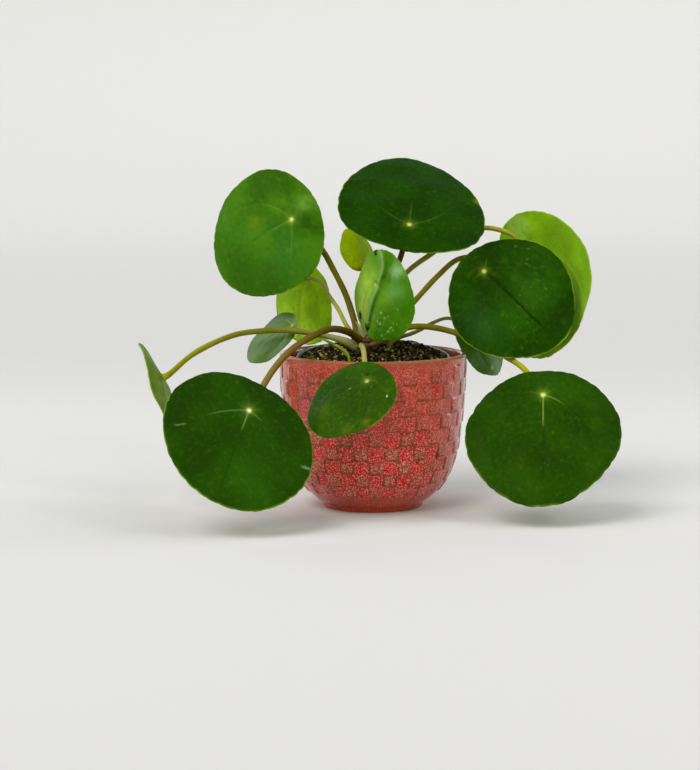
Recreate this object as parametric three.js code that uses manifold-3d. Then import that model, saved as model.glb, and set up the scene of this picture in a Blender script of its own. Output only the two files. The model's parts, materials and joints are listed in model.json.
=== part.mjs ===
// A potted pilea: a glazed cover pot with a checkered relief, a thin nursery pot tilted inside it,
// a heap of potting soil, a short stem, and thirteen round peltate leaves on long stalks.
// Millimetres, +Z up, +Y away from the viewer. The origin is the middle of the flat foot of the pot.

import * as THREE from "three";
import { mergeVertices } from "three/addons/utils/BufferGeometryUtils.js";
import Module from "manifold-3d";

const wasm = await Module();
wasm.setup();

const FULL_TURN = 2 * Math.PI;

// ---- driving dimensions ----

const SEAT_GAP = 0.3; // what a piece keeps to the piece that carries it

const POT_HEIGHT = 90.5;
const POT_RIM_RADIUS = 55;
const POT_WALL = 3.6;
const POT_FLOOR_TOP = 4.5;
const POT_FOOT_RADIUS = 29.5;
const POT_FOOT_HEIGHT = 2.6;
const POT_FOOT_STEP = 1.2; // the wall starts this far outside the foot ...
const POT_FOOT_RISE = 0.8; // ... and this far above it
const POT_EDGE = 0.6; // bevel under the foot
const POT_LIP = 1.4; // height over which the rim rounds over
// The outer wall, radius and height: a round belly that straightens upwards.
const POT_WALL_WAY = [[35.6, 7], [43.3, 16], [49.1, 30], [52.5, 52], [54.3, 74]];
const POT_LOWEST_RING = 6;
const POT_INNER_RINGS = [66, 44, 26, 15, 9]; // heights
const POT_FLOOR_INSET = 3; // the inner floor rounds up to the wall over this width

const POT_CELLS_ROUND = 36; // raised and sunken squares in one row
const POT_CELL_ROWS = 9;
const POT_RELIEF = 0.55;
const POT_BEVEL = 0.7; // width of the slope round a raised square
const POT_BAND_BOTTOM = 9.5; // the relief runs from here ...
const POT_BAND_TOP = 86; // ... to here
const POT_PATTERN_TURN = 1.6; // degrees, a raised square faces the viewer at this bearing
const POT_LOWER_ROW = 7.2; // the lowest squares are shorter than the upper ones
const POT_UPPER_ROW = 9.1;

const NURSERY_SIDES = 40;
const NURSERY_TILT = 6.5; // degrees, the back stands higher
const NURSERY_BASE = [0, 4.7, 8];
const NURSERY_HEIGHT = 81;
const NURSERY_BASE_RADIUS = 28;
const NURSERY_TOP_RADIUS = 43;
const NURSERY_LIP_RADIUS = 45;
const NURSERY_LIP_BOTTOM = 75;
const NURSERY_WALL = 1.2;
const NURSERY_EDGE = 0.4; // how much the lip's edges are broken
const NURSERY_DRAINS = 4;
const NURSERY_DRAIN_RADIUS = 4;
const NURSERY_DRAIN_SPACING = 15; // from the middle

const SOIL_BELOW_LIP = 1.5; // where the soil meets the nursery pot
const SOIL_EDGE = 1.5; // height of its steep edge there
const SOIL_HEAP = 6; // rise of the heap from there to its middle
const SOIL_FULLNESS = 2.2; // the larger, the flatter the heap's top
const SOIL_BUMP = 0.7;
const SOIL_CROWN = [8, 16]; // x and y: the heap is highest behind the middle
const SOIL_RINGS = 7;

const STEM_FOOT = new THREE.Vector3(-3, -12, 78);
const STEM_TOP = new THREE.Vector3(-4, -11.5, 107);
const STEM_RADIUS = 3;
const STEM_SCAR = 0.12; // the stem swells by this at each leaf scar
const STEM_SCARS = 5;
const STEM_BUD_FROM = 0.88; // the bud starts at this share of the stem
const STEM_BUD_TIP = 0.2; // radius of the bud's tip, as a share of the stem's
const STEM_SIDES = 12;
const STEM_STEPS = 14;

const BLADE_THICKNESS = 0.8;
const BLADE_RINGS = [0.42, 0.76, 1]; // shares of the way from the hub to the margin
const BLADE_RIPPLE = 0.6; // height of the margin's waves
const BLADE_WAVES = 5;
const BLADE_SEGMENTS = 36;
const SMALL_BLADE_SEGMENTS = 24;
const SMALL_BLADE_LENGTH = 60; // blades shorter than this have the fewer segments

const STALK_SIDES = 7;
const STALK_STEPS = 11;
const STALK_START = 2; // a stalk leaves the stem square on over this length ...
const STALK_END = 4; // ... and meets its blade square on over this one
const STALK_END_SLACK = 0.18; // extra room below the blade, as a share of the stalk's radius

const HOLE_SIDES = 12;
const HOLE_HEIGHT = 40;
const HOLE_BELOW = 1; // a hole in the soil goes this far below what stands in it
const STALK_HOLE_ROOM = 1.3; // room round a stalk in its hole
const STEM_HOLE_ROOM = 0.8;
const STEM_HOLE_AT = 83; // the stem's hole is centred on it at this height

const POT_LOOK = { color: 0xae3f48, roughness: 0.22 };
const NURSERY_LOOK = { color: 0x6e786a, roughness: 0.5 };
const SOIL_LOOK = { color: 0x241b12, roughness: 1 };
const STEM_LOOK = { color: 0x5d3423, roughness: 0.7 };
const STALK_ROUGHNESS = 0.5;
const BLADE_ROUGHNESS = 0.38;

const OLIVE = 0x7d7a30;
const BROWN = 0x5c4426;
const YELLOW_GREEN = 0x93a01c;

// The leaves. Bearing is where the upper face looks, from the viewer's side towards +X; rise is how
// far it looks up; spin turns the tip in the blade's plane, from straight downhill towards +X. Seat
// is how far along the blade the stalk meets it. Egg narrows the tip end, skew leans the blade,
// cup drops the margin below the hub, lobe is one soft swelling of the outline, three times round,
// turned by lobeTurn, and square is one four times round. Fold bends the blade down on one side of
// its midrib. A stalk leaves the stem at a height and azimuth, or stands in the soil at a point, and
// its way holds the points that it passes before the hub. A slanting stalk ends flat under its
// blade, the others meet theirs square on, and a drop keeps the end farther below a folded blade.
const LEAVES = [
  {
    name: "left_upper", colour: 0x3c6a06, hub: [-47.5, -4, 168.5], bearing: -26, rise: 9, spin: -62,
    length: 77, width: 73.5, seat: 0.245, egg: -0.05, skew: 0.01, cup: 3, lobe: 0.022, lobeTurn: 58,
    stalk: {
      colour: BROWN, azimuth: 172, height: 103, radii: [1.9, 1.6],
      way: [[-11, -11, 110], [-16, -9, 125], [-23, -6, 139], [-30, -3, 151]],
    },
  },
  {
    name: "top", colour: 0x204401, hub: [21, -4, 165.5], bearing: 10, rise: 48, spin: 167,
    length: 91, width: 86.5, seat: 0.25, egg: -0.06, skew: 0.04, cup: 5, lobe: 0.038, lobeTurn: 20,
    stalk: {
      colour: BROWN, azimuth: 66, height: 105, radii: [1.7, 1.6],
      way: [[1, -6, 114], [8, -6, 128], [15, -6, 144], [18, -6, 154]],
    },
  },
  {
    name: "right_upper", colour: 0x275103, hub: [64, -14, 139], bearing: 7, rise: 15, spin: 46,
    length: 74, width: 73.5, seat: 0.18, egg: -0.06, skew: 0.08, cup: 2.4, square: 0.016,
    stalk: {
      colour: OLIVE, azimuth: 12, height: 102.5, radii: [1.7, 1.5],
      way: [[12, -9, 109], [24, -7, 121], [37, -5, 135], [49, -4, 145], [58, -5, 146]],
    },
  },
  {
    name: "right_back", colour: 0x75a011, hub: [96.5, 36, 146.5], bearing: 132, rise: 5, spin: -34,
    length: 86.5, width: 82.5, seat: 0.285, egg: 0.08, skew: 0.04, cup: 5, lobe: 0.045, lobeTurn: 115,
    stalk: {
      colour: OLIVE, azimuth: 88, height: 99.5, radii: [1.6, 1.4],
      way: [
        [0, -1, 112], [8, 3, 122], [20, 7, 137], [34, 13, 147], [50, 19, 157], [66, 24, 162],
        [82, 27, 158],
      ],
    },
  },
  {
    name: "right_front", colour: 0x244901, hub: [96.5, -42, 70.5], bearing: -4, rise: 42, spin: 0,
    length: 87, width: 86, seat: 0.19, egg: -0.05, skew: -0.06, cup: 2, square: 0.017,
    stalk: {
      colour: OLIVE, azimuth: 0, height: 97.5, radii: [1.8, 1.6],
      way: [
        [10, -11, 102], [22, -7, 106], [35, -5, 105.5], [49, -5, 102], [62, -7, 96.5],
        [75.5, -13, 90], [87, -24, 83],
      ],
    },
  },
  {
    name: "left_front", colour: 0x254901, hub: [-68.5, -83, 66], bearing: 16.5, rise: 35, spin: -26.5,
    length: 80.5, width: 87, seat: 0.24, egg: -0.04, skew: 0.12, cup: 0.4, lobe: 0.008, lobeTurn: -40,
    stalk: {
      colour: OLIVE, azimuth: 215, height: 99.5, radii: [2, 1.8],
      way: [[-14, -20, 104], [-24, -30, 107], [-35, -43, 104], [-47, -53, 97], [-57, -58, 86]],
    },
  },
  {
    name: "front", colour: 0x315102, hub: [-4.5, -72, 81.5], bearing: -31, rise: 42, spin: -30,
    length: 55, width: 50.5, seat: 0.24, egg: -0.08, skew: -0.14, cup: 2.4, lobe: 0.015, lobeTurn: -30,
    stalk: {
      colour: YELLOW_GREEN, azimuth: 262, height: 95.5, radii: [1.6, 1.4], slanting: true,
      way: [[-7, -30, 97.5], [-6, -46, 97], [-5.5, -55, 94], [-5, -59.5, 87.5]],
    },
  },
  {
    name: "centre", colour: 0x517d0b, hub: [0.6, -36, 133], bearing: -25, rise: 3, spin: 1,
    length: 52, width: 48, seat: 0.37, egg: 0.12, skew: -0.015, cup: 2.5, lobe: 0.04, lobeTurn: 124,
    fold: 36,
    stalk: {
      colour: OLIVE, azimuth: 300, height: 101, radii: [1.5, 1.3], drop: 0.3,
      way: [[1, -18, 109], [4, -24, 120]],
    },
  },
  {
    name: "centre_back", colour: 0x768c02, hub: [-7.6, 14, 139.7], bearing: 213, rise: 3, spin: 184,
    length: 24, width: 22.5, seat: 0.115, egg: -0.02, skew: -0.02, cup: -3.5, lobe: 0.017, lobeTurn: -7,
    stalk: {
      colour: YELLOW_GREEN, azimuth: 118, height: 102.5, radii: [1.2, 1],
      way: [[-6, -3, 110], [-8, 3, 121], [-8, 8, 131]],
    },
  },
  {
    name: "left_back", colour: 0x617d10, hub: [-39.7, 42, 131.6], bearing: 214, rise: 5, spin: 20,
    length: 47.5, width: 43, seat: 0.175, egg: 0.07, skew: -0.06, cup: 5, lobe: 0.01, lobeTurn: 150,
    stalk: {
      colour: YELLOW_GREEN, azimuth: 142, height: 98.5, radii: [1.3, 1.1],
      way: [[-15, -6, 106], [-20, 1, 115], [-26, 13, 123], [-31, 25, 130]],
    },
  },
  {
    name: "left_small", colour: 0x586f2e, hub: [-47.3, -3, 106.8], bearing: -50, rise: 44, spin: -51,
    length: 39, width: 36, seat: 0.1, egg: 0, skew: 0, cup: 1.2, lobe: 0.014, lobeTurn: 10,
    stalk: {
      colour: YELLOW_GREEN, soil: [-14, -30, 74], radii: [0.9, 0.8],
      way: [[-14, -29.5, 90], [-17.5, -20, 94], [-25.5, -7, 97], [-34, -3, 101], [-41, -2, 103]],
    },
  },
  {
    name: "far_left", colour: 0x768c02, hub: [-126, 26, 72], bearing: -91, rise: -27, spin: 1,
    length: 66, width: 62.5, seat: 0.37, egg: 0.06, skew: 0.04, cup: -4, lobe: 0.018, lobeTurn: 202,
    stalk: {
      colour: OLIVE, azimuth: 183, height: 94.5, radii: [2.4, 1.5],
      way: [
        [-17, -12.5, 98.3], [-33, -13, 102.5], [-50, -13, 104.5], [-65, -6, 103.5], [-82, 4, 100],
        [-106, 16, 88],
      ],
    },
  },
  {
    name: "right_low", colour: 0x2d4f0d, hub: [61, 35, 104.5], bearing: 50, rise: 28, spin: 42,
    length: 50.5, width: 47.5, seat: 0.28, egg: -0.06, skew: 0.02, cup: 5, lobe: 0.018, lobeTurn: 5,
    stalk: {
      colour: OLIVE, soil: [9.2, -5, 76], radii: [1.4, 0.9],
      way: [
        [9.2, -5, 87], [9.6, -4.5, 95.5], [15, -1, 99], [21.5, 5, 100.5], [28, 12, 102.5],
        [35.5, 20, 105.8], [45, 27, 108],
      ],
    },
  },
];

// ---- shared helpers ----

const { degToRad, lerp, mapLinear, smoothstep } = THREE.MathUtils;

const vectorOf = (point) => new THREE.Vector3(...point);

// A repeatable draw between 0 and 1.
function seededDraw(seed) {
  const modulus = 2 ** 31 - 1;
  const multiplier = 16807;
  let state = seed * 7919 + 17;
  return () => {
    state = (state * multiplier) % modulus;
    return state / modulus;
  };
}

// A ring of points at equal steps of a full turn.
function roundRing(sides, pointAt) {
  return Array.from({ length: sides }, (_, side) => pointAt((side / sides) * FULL_TURN));
}

// The two triangles of each square between one ring and the next.
function squareFaces(ring, sides, firstIndex) {
  const faces = [];
  for (let side = 0; side < sides; side += 1) {
    const next = (side + 1) % sides;
    const here = firstIndex + ring * sides;
    const above = here + sides;
    faces.push(here + side, here + next, above + next);
    faces.push(here + side, above + next, above + side);
  }
  return faces;
}

function indexedGeometry(points, faces) {
  const geometry = new THREE.BufferGeometry().setFromPoints(points);
  geometry.setIndex(faces);
  return geometry;
}

// A closed body from rings of equal length, shut at each end by a fan to a single point.
function bodyFromRings(rings, firstPoint, lastPoint) {
  const sides = rings[0].length;
  const points = [firstPoint, ...rings.flat(), lastPoint];
  const last = points.length - 1;
  const lastRing = 1 + (rings.length - 1) * sides;
  const faces = [];
  for (let ring = 0; ring + 1 < rings.length; ring += 1) {
    faces.push(...squareFaces(ring, sides, 1));
  }
  for (let side = 0; side < sides; side += 1) {
    const next = (side + 1) % sides;
    faces.push(0, 1 + next, 1 + side);
    faces.push(last, lastRing + side, lastRing + next);
  }
  return indexedGeometry(points, faces);
}

// A thin closed sheet: the middle surface's hub and rings, thickened to both sides along a vector,
// and split into the same triangles on both faces.
function sheetFromRings(hub, rings, half) {
  const sides = rings[0].length;
  const middle = [hub, ...rings.flat()];
  const count = middle.length;
  const rim = 1 + (rings.length - 1) * sides;
  const upper = [];
  for (let side = 0; side < sides; side += 1) {
    upper.push(0, 1 + side, 1 + ((side + 1) % sides));
  }
  for (let ring = 0; ring + 1 < rings.length; ring += 1) {
    const outward = squareFaces(ring, sides, 1);
    for (let face = 0; face < outward.length; face += 3) {
      upper.push(outward[face], outward[face + 2], outward[face + 1]);
    }
  }
  const faces = [...upper];
  for (let face = 0; face < upper.length; face += 3) {
    faces.push(count + upper[face], count + upper[face + 2], count + upper[face + 1]);
  }
  for (let side = 0; side < sides; side += 1) {
    const here = rim + side;
    const next = rim + ((side + 1) % sides);
    faces.push(here, count + here, count + next);
    faces.push(here, count + next, next);
  }
  const above = middle.map((point) => point.clone().add(half));
  const below = middle.map((point) => point.clone().sub(half));
  return indexedGeometry([...above, ...below], faces);
}

function solidOf(geometry) {
  const bare = geometry.clone();
  bare.deleteAttribute("normal");
  bare.deleteAttribute("uv");
  const merged = mergeVertices(bare);
  const mesh = new wasm.Mesh({
    numProp: 3,
    vertProperties: new Float32Array(merged.attributes.position.array),
    triVerts: new Uint32Array(merged.index.array),
  });
  return new wasm.Manifold(mesh);
}

function cutAway(geometry, cutters) {
  let solid = solidOf(geometry);
  for (const cutter of cutters) {
    solid = solid.subtract(solidOf(cutter));
  }
  const { vertProperties, triVerts } = solid.getMesh();
  const cut = new THREE.BufferGeometry();
  cut.setAttribute("position", new THREE.BufferAttribute(vertProperties, 3));
  cut.setIndex(new THREE.BufferAttribute(triVerts, 1));
  return cut;
}

function addMesh(group, name, geometry, look) {
  const mesh = new THREE.Mesh(geometry, new THREE.MeshStandardMaterial(look));
  mesh.name = name;
  group.add(mesh);
}

// ---- cover pot ----

const wallStart = [POT_FOOT_RADIUS + POT_FOOT_STEP, POT_FOOT_HEIGHT + POT_FOOT_RISE];
const wallEnd = [POT_RIM_RADIUS, POT_HEIGHT];
const wallCurve = new THREE.CatmullRomCurve3(
  [wallStart, ...POT_WALL_WAY, wallEnd].map(([radius, z]) => new THREE.Vector3(radius, 0, z)),
);
const wallSamples = wallCurve.getSpacedPoints(120);

function wallRadius(z) {
  const above = wallSamples.findIndex((sample) => sample.z >= z);
  const low = wallSamples[above - 1];
  const high = wallSamples[above];
  return mapLinear(z, low.z, high.z, low.x, high.x);
}

// Heights of the lines between the rows of squares, closer together towards the foot.
function rowLines() {
  const lines = [0];
  for (let row = 0; row < POT_CELL_ROWS; row += 1) {
    lines.push(lines[row] + lerp(POT_LOWER_ROW, POT_UPPER_ROW, row / (POT_CELL_ROWS - 1)));
  }
  const stretch = (POT_BAND_TOP - POT_BAND_BOTTOM) / lines[POT_CELL_ROWS];
  return lines.map((line) => POT_BAND_BOTTOM + line * stretch);
}

// One ring of the pot, plain unless it belongs to a row of squares. Each square owns two of the
// ring's points, so that its edges slope.
function potRing(z, radius, row = null) {
  const ring = [];
  const cellAngle = FULL_TURN / POT_CELLS_ROUND;
  const half = (cellAngle - POT_BEVEL / POT_RIM_RADIUS) / 2;
  for (let cell = 0; cell < POT_CELLS_ROUND; cell += 1) {
    const middle = cell * cellAngle - FULL_TURN / 4 + degToRad(POT_PATTERN_TURN);
    const raised = row !== null && (cell + row) % 2 === 0;
    const reach = radius + (raised ? POT_RELIEF : 0);
    for (const edge of [middle - half, middle + half]) {
      ring.push(new THREE.Vector3(reach * Math.cos(edge), reach * Math.sin(edge), z));
    }
  }
  return ring;
}

function makePot() {
  const lines = rowLines();
  const innerRadius = POT_RIM_RADIUS - POT_WALL;
  const rings = [
    potRing(0, POT_FOOT_RADIUS - POT_EDGE),
    potRing(POT_EDGE, POT_FOOT_RADIUS),
    potRing(POT_FOOT_HEIGHT, POT_FOOT_RADIUS),
    potRing(POT_FOOT_HEIGHT + POT_FOOT_RISE, POT_FOOT_RADIUS + POT_FOOT_STEP),
    potRing(POT_LOWEST_RING, wallRadius(POT_LOWEST_RING)),
  ];
  for (let row = 0; row < POT_CELL_ROWS; row += 1) {
    for (const z of [lines[row] + POT_BEVEL / 2, lines[row + 1] - POT_BEVEL / 2]) {
      rings.push(potRing(z, wallRadius(z), row));
    }
  }
  rings.push(potRing(POT_BAND_TOP + POT_BEVEL, wallRadius(POT_BAND_TOP)));
  rings.push(potRing(POT_HEIGHT - POT_LIP, POT_RIM_RADIUS));
  rings.push(potRing(POT_HEIGHT - POT_EDGE / 2, POT_RIM_RADIUS - POT_EDGE));
  rings.push(potRing(POT_HEIGHT, POT_RIM_RADIUS - POT_WALL / 2));
  rings.push(potRing(POT_HEIGHT - POT_EDGE / 2, innerRadius + POT_EDGE));
  rings.push(potRing(POT_HEIGHT - POT_LIP, innerRadius));
  for (const z of POT_INNER_RINGS) {
    rings.push(potRing(z, wallRadius(z) - POT_WALL));
  }
  rings.push(potRing(POT_FLOOR_TOP, wallRadius(POT_LOWEST_RING) - POT_WALL - POT_FLOOR_INSET));
  return bodyFromRings(rings, vectorOf([0, 0, 0]), vectorOf([0, 0, POT_FLOOR_TOP]));
}

// ---- nursery pot, standing askew in the cover pot ----

const NURSERY_NECK = NURSERY_LIP_BOTTOM - 1; // the inner wall turns out into the lip here

function makeNurseryPot() {
  const outline = [
    [0, 0],
    [NURSERY_BASE_RADIUS - 1, 0],
    [NURSERY_BASE_RADIUS, 1],
    [NURSERY_TOP_RADIUS, NURSERY_LIP_BOTTOM],
    [NURSERY_LIP_RADIUS - NURSERY_EDGE, NURSERY_LIP_BOTTOM],
    [NURSERY_LIP_RADIUS, NURSERY_HEIGHT - NURSERY_EDGE],
    [NURSERY_LIP_RADIUS - NURSERY_EDGE, NURSERY_HEIGHT],
    [NURSERY_LIP_RADIUS - NURSERY_WALL, NURSERY_HEIGHT],
    [NURSERY_TOP_RADIUS - NURSERY_WALL, NURSERY_NECK],
    [NURSERY_BASE_RADIUS - NURSERY_WALL, NURSERY_WALL],
    [0, NURSERY_WALL],
  ];
  const profile = outline.map(([radius, height]) => new THREE.Vector2(radius, height));
  const body = new THREE.LatheGeometry(profile, NURSERY_SIDES).rotateX(FULL_TURN / 4);
  const drains = [];
  for (let drain = 0; drain < NURSERY_DRAINS; drain += 1) {
    const angle = ((drain + 0.5) / NURSERY_DRAINS) * FULL_TURN;
    const x = NURSERY_DRAIN_SPACING * Math.cos(angle);
    const y = NURSERY_DRAIN_SPACING * Math.sin(angle);
    drains.push(uprightHole(NURSERY_DRAIN_RADIUS, x, y, -HOLE_BELOW));
  }
  return cutAway(body, drains);
}

// A straight upright cutter, from a bottom height upwards.
function uprightHole(radius, x, y, bottom) {
  const hole = new THREE.CylinderGeometry(radius, radius, HOLE_HEIGHT, HOLE_SIDES);
  return hole.rotateX(FULL_TURN / 4).translate(x, y, bottom + HOLE_HEIGHT / 2);
}

// ---- soil, in the nursery pot's own frame ----

function nurseryInnerRadius(height) {
  const neck = NURSERY_TOP_RADIUS - NURSERY_WALL;
  if (height > NURSERY_NECK) {
    return mapLinear(height, NURSERY_NECK, NURSERY_HEIGHT, neck, NURSERY_LIP_RADIUS - NURSERY_WALL);
  }
  return mapLinear(height, NURSERY_WALL, NURSERY_NECK, NURSERY_BASE_RADIUS - NURSERY_WALL, neck);
}

function soilSideRing(height) {
  const radius = nurseryInnerRadius(height) - SEAT_GAP;
  return roundRing(NURSERY_SIDES, (angle) =>
    vectorOf([radius * Math.cos(angle), radius * Math.sin(angle), height]));
}

function makeSoil(holes) {
  const draw = seededDraw(5);
  const edgeHeight = NURSERY_HEIGHT - SOIL_BELOW_LIP;
  const bottom = NURSERY_WALL + SEAT_GAP;
  const rings = [bottom, NURSERY_HEIGHT / 2, NURSERY_NECK, edgeHeight - SOIL_EDGE].map(soilSideRing);
  const edgeRadius = nurseryInnerRadius(edgeHeight) - SEAT_GAP;
  for (let ring = 1; ring <= SOIL_RINGS; ring += 1) {
    const towardsCrown = ring / (SOIL_RINGS + 1);
    const radius = edgeRadius * (1 - towardsCrown);
    const height = edgeHeight + SOIL_HEAP * (1 - (1 - towardsCrown) ** SOIL_FULLNESS);
    rings.push(roundRing(NURSERY_SIDES, (angle) => vectorOf([
      radius * Math.cos(angle) + SOIL_CROWN[0] * towardsCrown,
      radius * Math.sin(angle) + SOIL_CROWN[1] * towardsCrown,
      height + SOIL_BUMP * (2 * draw() - 1),
    ])));
  }
  const crown = vectorOf([...SOIL_CROWN, edgeHeight + SOIL_HEAP]);
  return cutAway(bodyFromRings(rings, vectorOf([0, 0, bottom]), crown), holes);
}

// Upright holes in the heap for the stem and for the stalks that come out of the soil.
function makeSoilHoles() {
  const stem = stemCentreAt(STEM_HOLE_AT);
  const holes = [uprightHole(STEM_RADIUS + STEM_HOLE_ROOM, stem.x, stem.y, STEM_FOOT.z - HOLE_BELOW)];
  for (const { stalk } of LEAVES.filter((leaf) => leaf.stalk.soil)) {
    const [x, y, foot] = stalk.soil;
    holes.push(uprightHole(stalk.radii[0] + STALK_HOLE_ROOM, x, y, foot - HOLE_BELOW));
  }
  return holes;
}

// ---- tubes: stem and stalks ----

// A round closed tube along a curve, with a radius for each step.
function tubeAlong(curve, radii, sides) {
  const steps = radii.length - 1;
  const frames = curve.computeFrenetFrames(steps, false);
  const rings = radii.map((radius, step) => {
    const centre = curve.getPointAt(step / steps);
    return roundRing(sides, (angle) => centre.clone()
      .addScaledVector(frames.normals[step], radius * Math.cos(angle))
      .addScaledVector(frames.binormals[step], radius * Math.sin(angle)));
  });
  return bodyFromRings(rings, curve.getPointAt(0), curve.getPointAt(1));
}

const stemLine = new THREE.LineCurve3(STEM_FOOT, STEM_TOP);

function stemCentreAt(height) {
  return stemLine.getPoint((height - STEM_FOOT.z) / (STEM_TOP.z - STEM_FOOT.z));
}

// The stem thickens at each leaf scar and runs out in a small bud.
function makeStem() {
  const radii = [];
  for (let step = 0; step <= STEM_STEPS; step += 1) {
    const share = step / STEM_STEPS;
    const bud = smoothstep(share, STEM_BUD_FROM, 1);
    const swelling = STEM_SCAR * (Math.sin(share * STEM_SCARS * FULL_TURN) - 1);
    radii.push((STEM_RADIUS + swelling) * lerp(1, STEM_BUD_TIP, bud));
  }
  return tubeAlong(stemLine, radii, STEM_SIDES);
}

// ---- leaves ----

// The blade's own axes: out of the upper face, towards the tip, and to the side in its plane.
function bladeAxes(leaf) {
  const bearing = degToRad(leaf.bearing);
  const rise = degToRad(leaf.rise);
  const spin = degToRad(leaf.spin);
  const level = vectorOf([Math.sin(bearing), -Math.cos(bearing), 0]);
  const up = vectorOf([0, 0, 1]);
  const facing = level.clone().multiplyScalar(Math.cos(rise)).addScaledVector(up, Math.sin(rise));
  const downhill = level.multiplyScalar(Math.sin(rise)).addScaledVector(up, -Math.cos(rise));
  const across = new THREE.Vector3().crossVectors(facing, downhill);
  const tip = downhill.multiplyScalar(Math.cos(spin)).addScaledVector(across, Math.sin(spin));
  const side = new THREE.Vector3().crossVectors(facing, tip);
  return { facing, tip, side };
}

// A point of the blade's middle surface, at a share of the way from the hub to the margin.
function bladePoint(leaf, axes, angle, share, ripplePhase) {
  const halfLength = leaf.length / 2;
  const halfWidth = leaf.width / 2;
  const lobe = (leaf.lobe ?? 0) * Math.cos(3 * angle - degToRad(leaf.lobeTurn ?? 0));
  const swell = 1 + lobe + (leaf.square ?? 0) * Math.cos(4 * angle);
  const along = halfLength * Math.cos(angle) * swell;
  const egg = 1 + leaf.egg * Math.cos(angle);
  const across = halfWidth * Math.sin(angle) * egg * swell + leaf.skew * along;
  const u = share * (leaf.length * (0.5 - leaf.seat) + along);
  let v = share * across;
  let lift = (-leaf.cup * (u * u + v * v)) / halfWidth ** 2;
  lift += BLADE_RIPPLE * share ** 4 * Math.sin(BLADE_WAVES * angle + ripplePhase);
  if (leaf.fold && v < 0) {
    const fold = degToRad(leaf.fold);
    lift += v * Math.sin(fold);
    v *= Math.cos(fold);
  }
  return vectorOf(leaf.hub)
    .addScaledVector(axes.tip, u)
    .addScaledVector(axes.side, v)
    .addScaledVector(axes.facing, lift);
}

function makeBlade(leaf, seed) {
  const axes = bladeAxes(leaf);
  const ripplePhase = seededDraw(seed)() * FULL_TURN;
  const segments = leaf.length < SMALL_BLADE_LENGTH ? SMALL_BLADE_SEGMENTS : BLADE_SEGMENTS;
  const rings = BLADE_RINGS.map((share) =>
    roundRing(segments, (angle) => bladePoint(leaf, axes, angle, share, ripplePhase)));
  const half = axes.facing.clone().multiplyScalar(BLADE_THICKNESS / 2);
  return sheetFromRings(vectorOf(leaf.hub), rings, half);
}

// The way the blade faces at its hub, which on a folded blade is between its two halves.
function hubFacing(leaf) {
  const axes = bladeAxes(leaf);
  const near = (angle) => bladePoint(leaf, axes, angle, 0.01, 0);
  const along = near(0).sub(near(FULL_TURN / 2));
  const across = near(FULL_TURN / 4).sub(near(-FULL_TURN / 4));
  return new THREE.Vector3().crossVectors(along, across).normalize();
}

// The way of a stalk: out of the stem or the soil, through its points, up to the hub.
function stalkCurve(leaf) {
  const { stalk } = leaf;
  const points = [];
  if (stalk.soil) {
    points.push(vectorOf(stalk.soil));
  } else {
    const azimuth = degToRad(stalk.azimuth);
    const outward = vectorOf([Math.cos(azimuth), Math.sin(azimuth), 0]);
    const start = stemCentreAt(stalk.height).addScaledVector(outward, STEM_RADIUS + SEAT_GAP);
    points.push(start, start.clone().addScaledVector(outward, STALK_START));
  }
  points.push(...stalk.way.map(vectorOf));
  const belowHub = (distance) => vectorOf(leaf.hub).addScaledVector(hubFacing(leaf), -distance);
  const endRadius = stalk.radii[1];
  const seat = BLADE_THICKNESS / 2 + SEAT_GAP + STALK_END_SLACK * endRadius + (stalk.drop ?? 0);
  if (stalk.slanting) {
    points.push(belowHub(seat + endRadius));
  } else {
    points.push(belowHub(STALK_END), belowHub(seat));
  }
  return new THREE.CatmullRomCurve3(points, false, "centripetal");
}

function makeStalk(leaf) {
  const [first, last] = leaf.stalk.radii;
  const radii = [];
  for (let step = 0; step <= STALK_STEPS; step += 1) {
    radii.push(lerp(first, last, step / STALK_STEPS));
  }
  return tubeAlong(stalkCurve(leaf), radii, STALK_SIDES);
}

// ---- the plant ----

const plant = new THREE.Group();
addMesh(plant, "pot", makePot(), POT_LOOK);

// The nursery pot and its soil lean together; the holes in the soil stay upright.
const nursery = new THREE.Group();
nursery.rotation.x = degToRad(NURSERY_TILT);
nursery.position.set(...NURSERY_BASE);
nursery.updateMatrix();
plant.add(nursery);
const toNursery = nursery.matrix.clone().invert();
const soilHoles = makeSoilHoles().map((hole) => hole.applyMatrix4(toNursery));
addMesh(nursery, "nursery_pot", makeNurseryPot(), NURSERY_LOOK);
addMesh(nursery, "soil", makeSoil(soilHoles), SOIL_LOOK);

addMesh(plant, "stem", makeStem(), STEM_LOOK);
LEAVES.forEach((leaf, index) => {
  const stalkLook = { color: leaf.stalk.colour, roughness: STALK_ROUGHNESS };
  const bladeLook = { color: leaf.colour, roughness: BLADE_ROUGHNESS };
  addMesh(plant, `stalk_${leaf.name}`, makeStalk(leaf), stalkLook);
  addMesh(plant, `blade_${leaf.name}`, makeBlade(leaf, index + 1), bladeLook);
});

export default plant;
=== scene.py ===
"""A potted pilea: round peltate leaves on long stalks, a woody stem, soil in a nursery pot, and a
glazed cover pot with a checkered relief. Lengths are in millimetres until a mesh is made."""
import json
import math

import bpy
import numpy as np
from mathutils import Matrix, Vector


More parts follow.
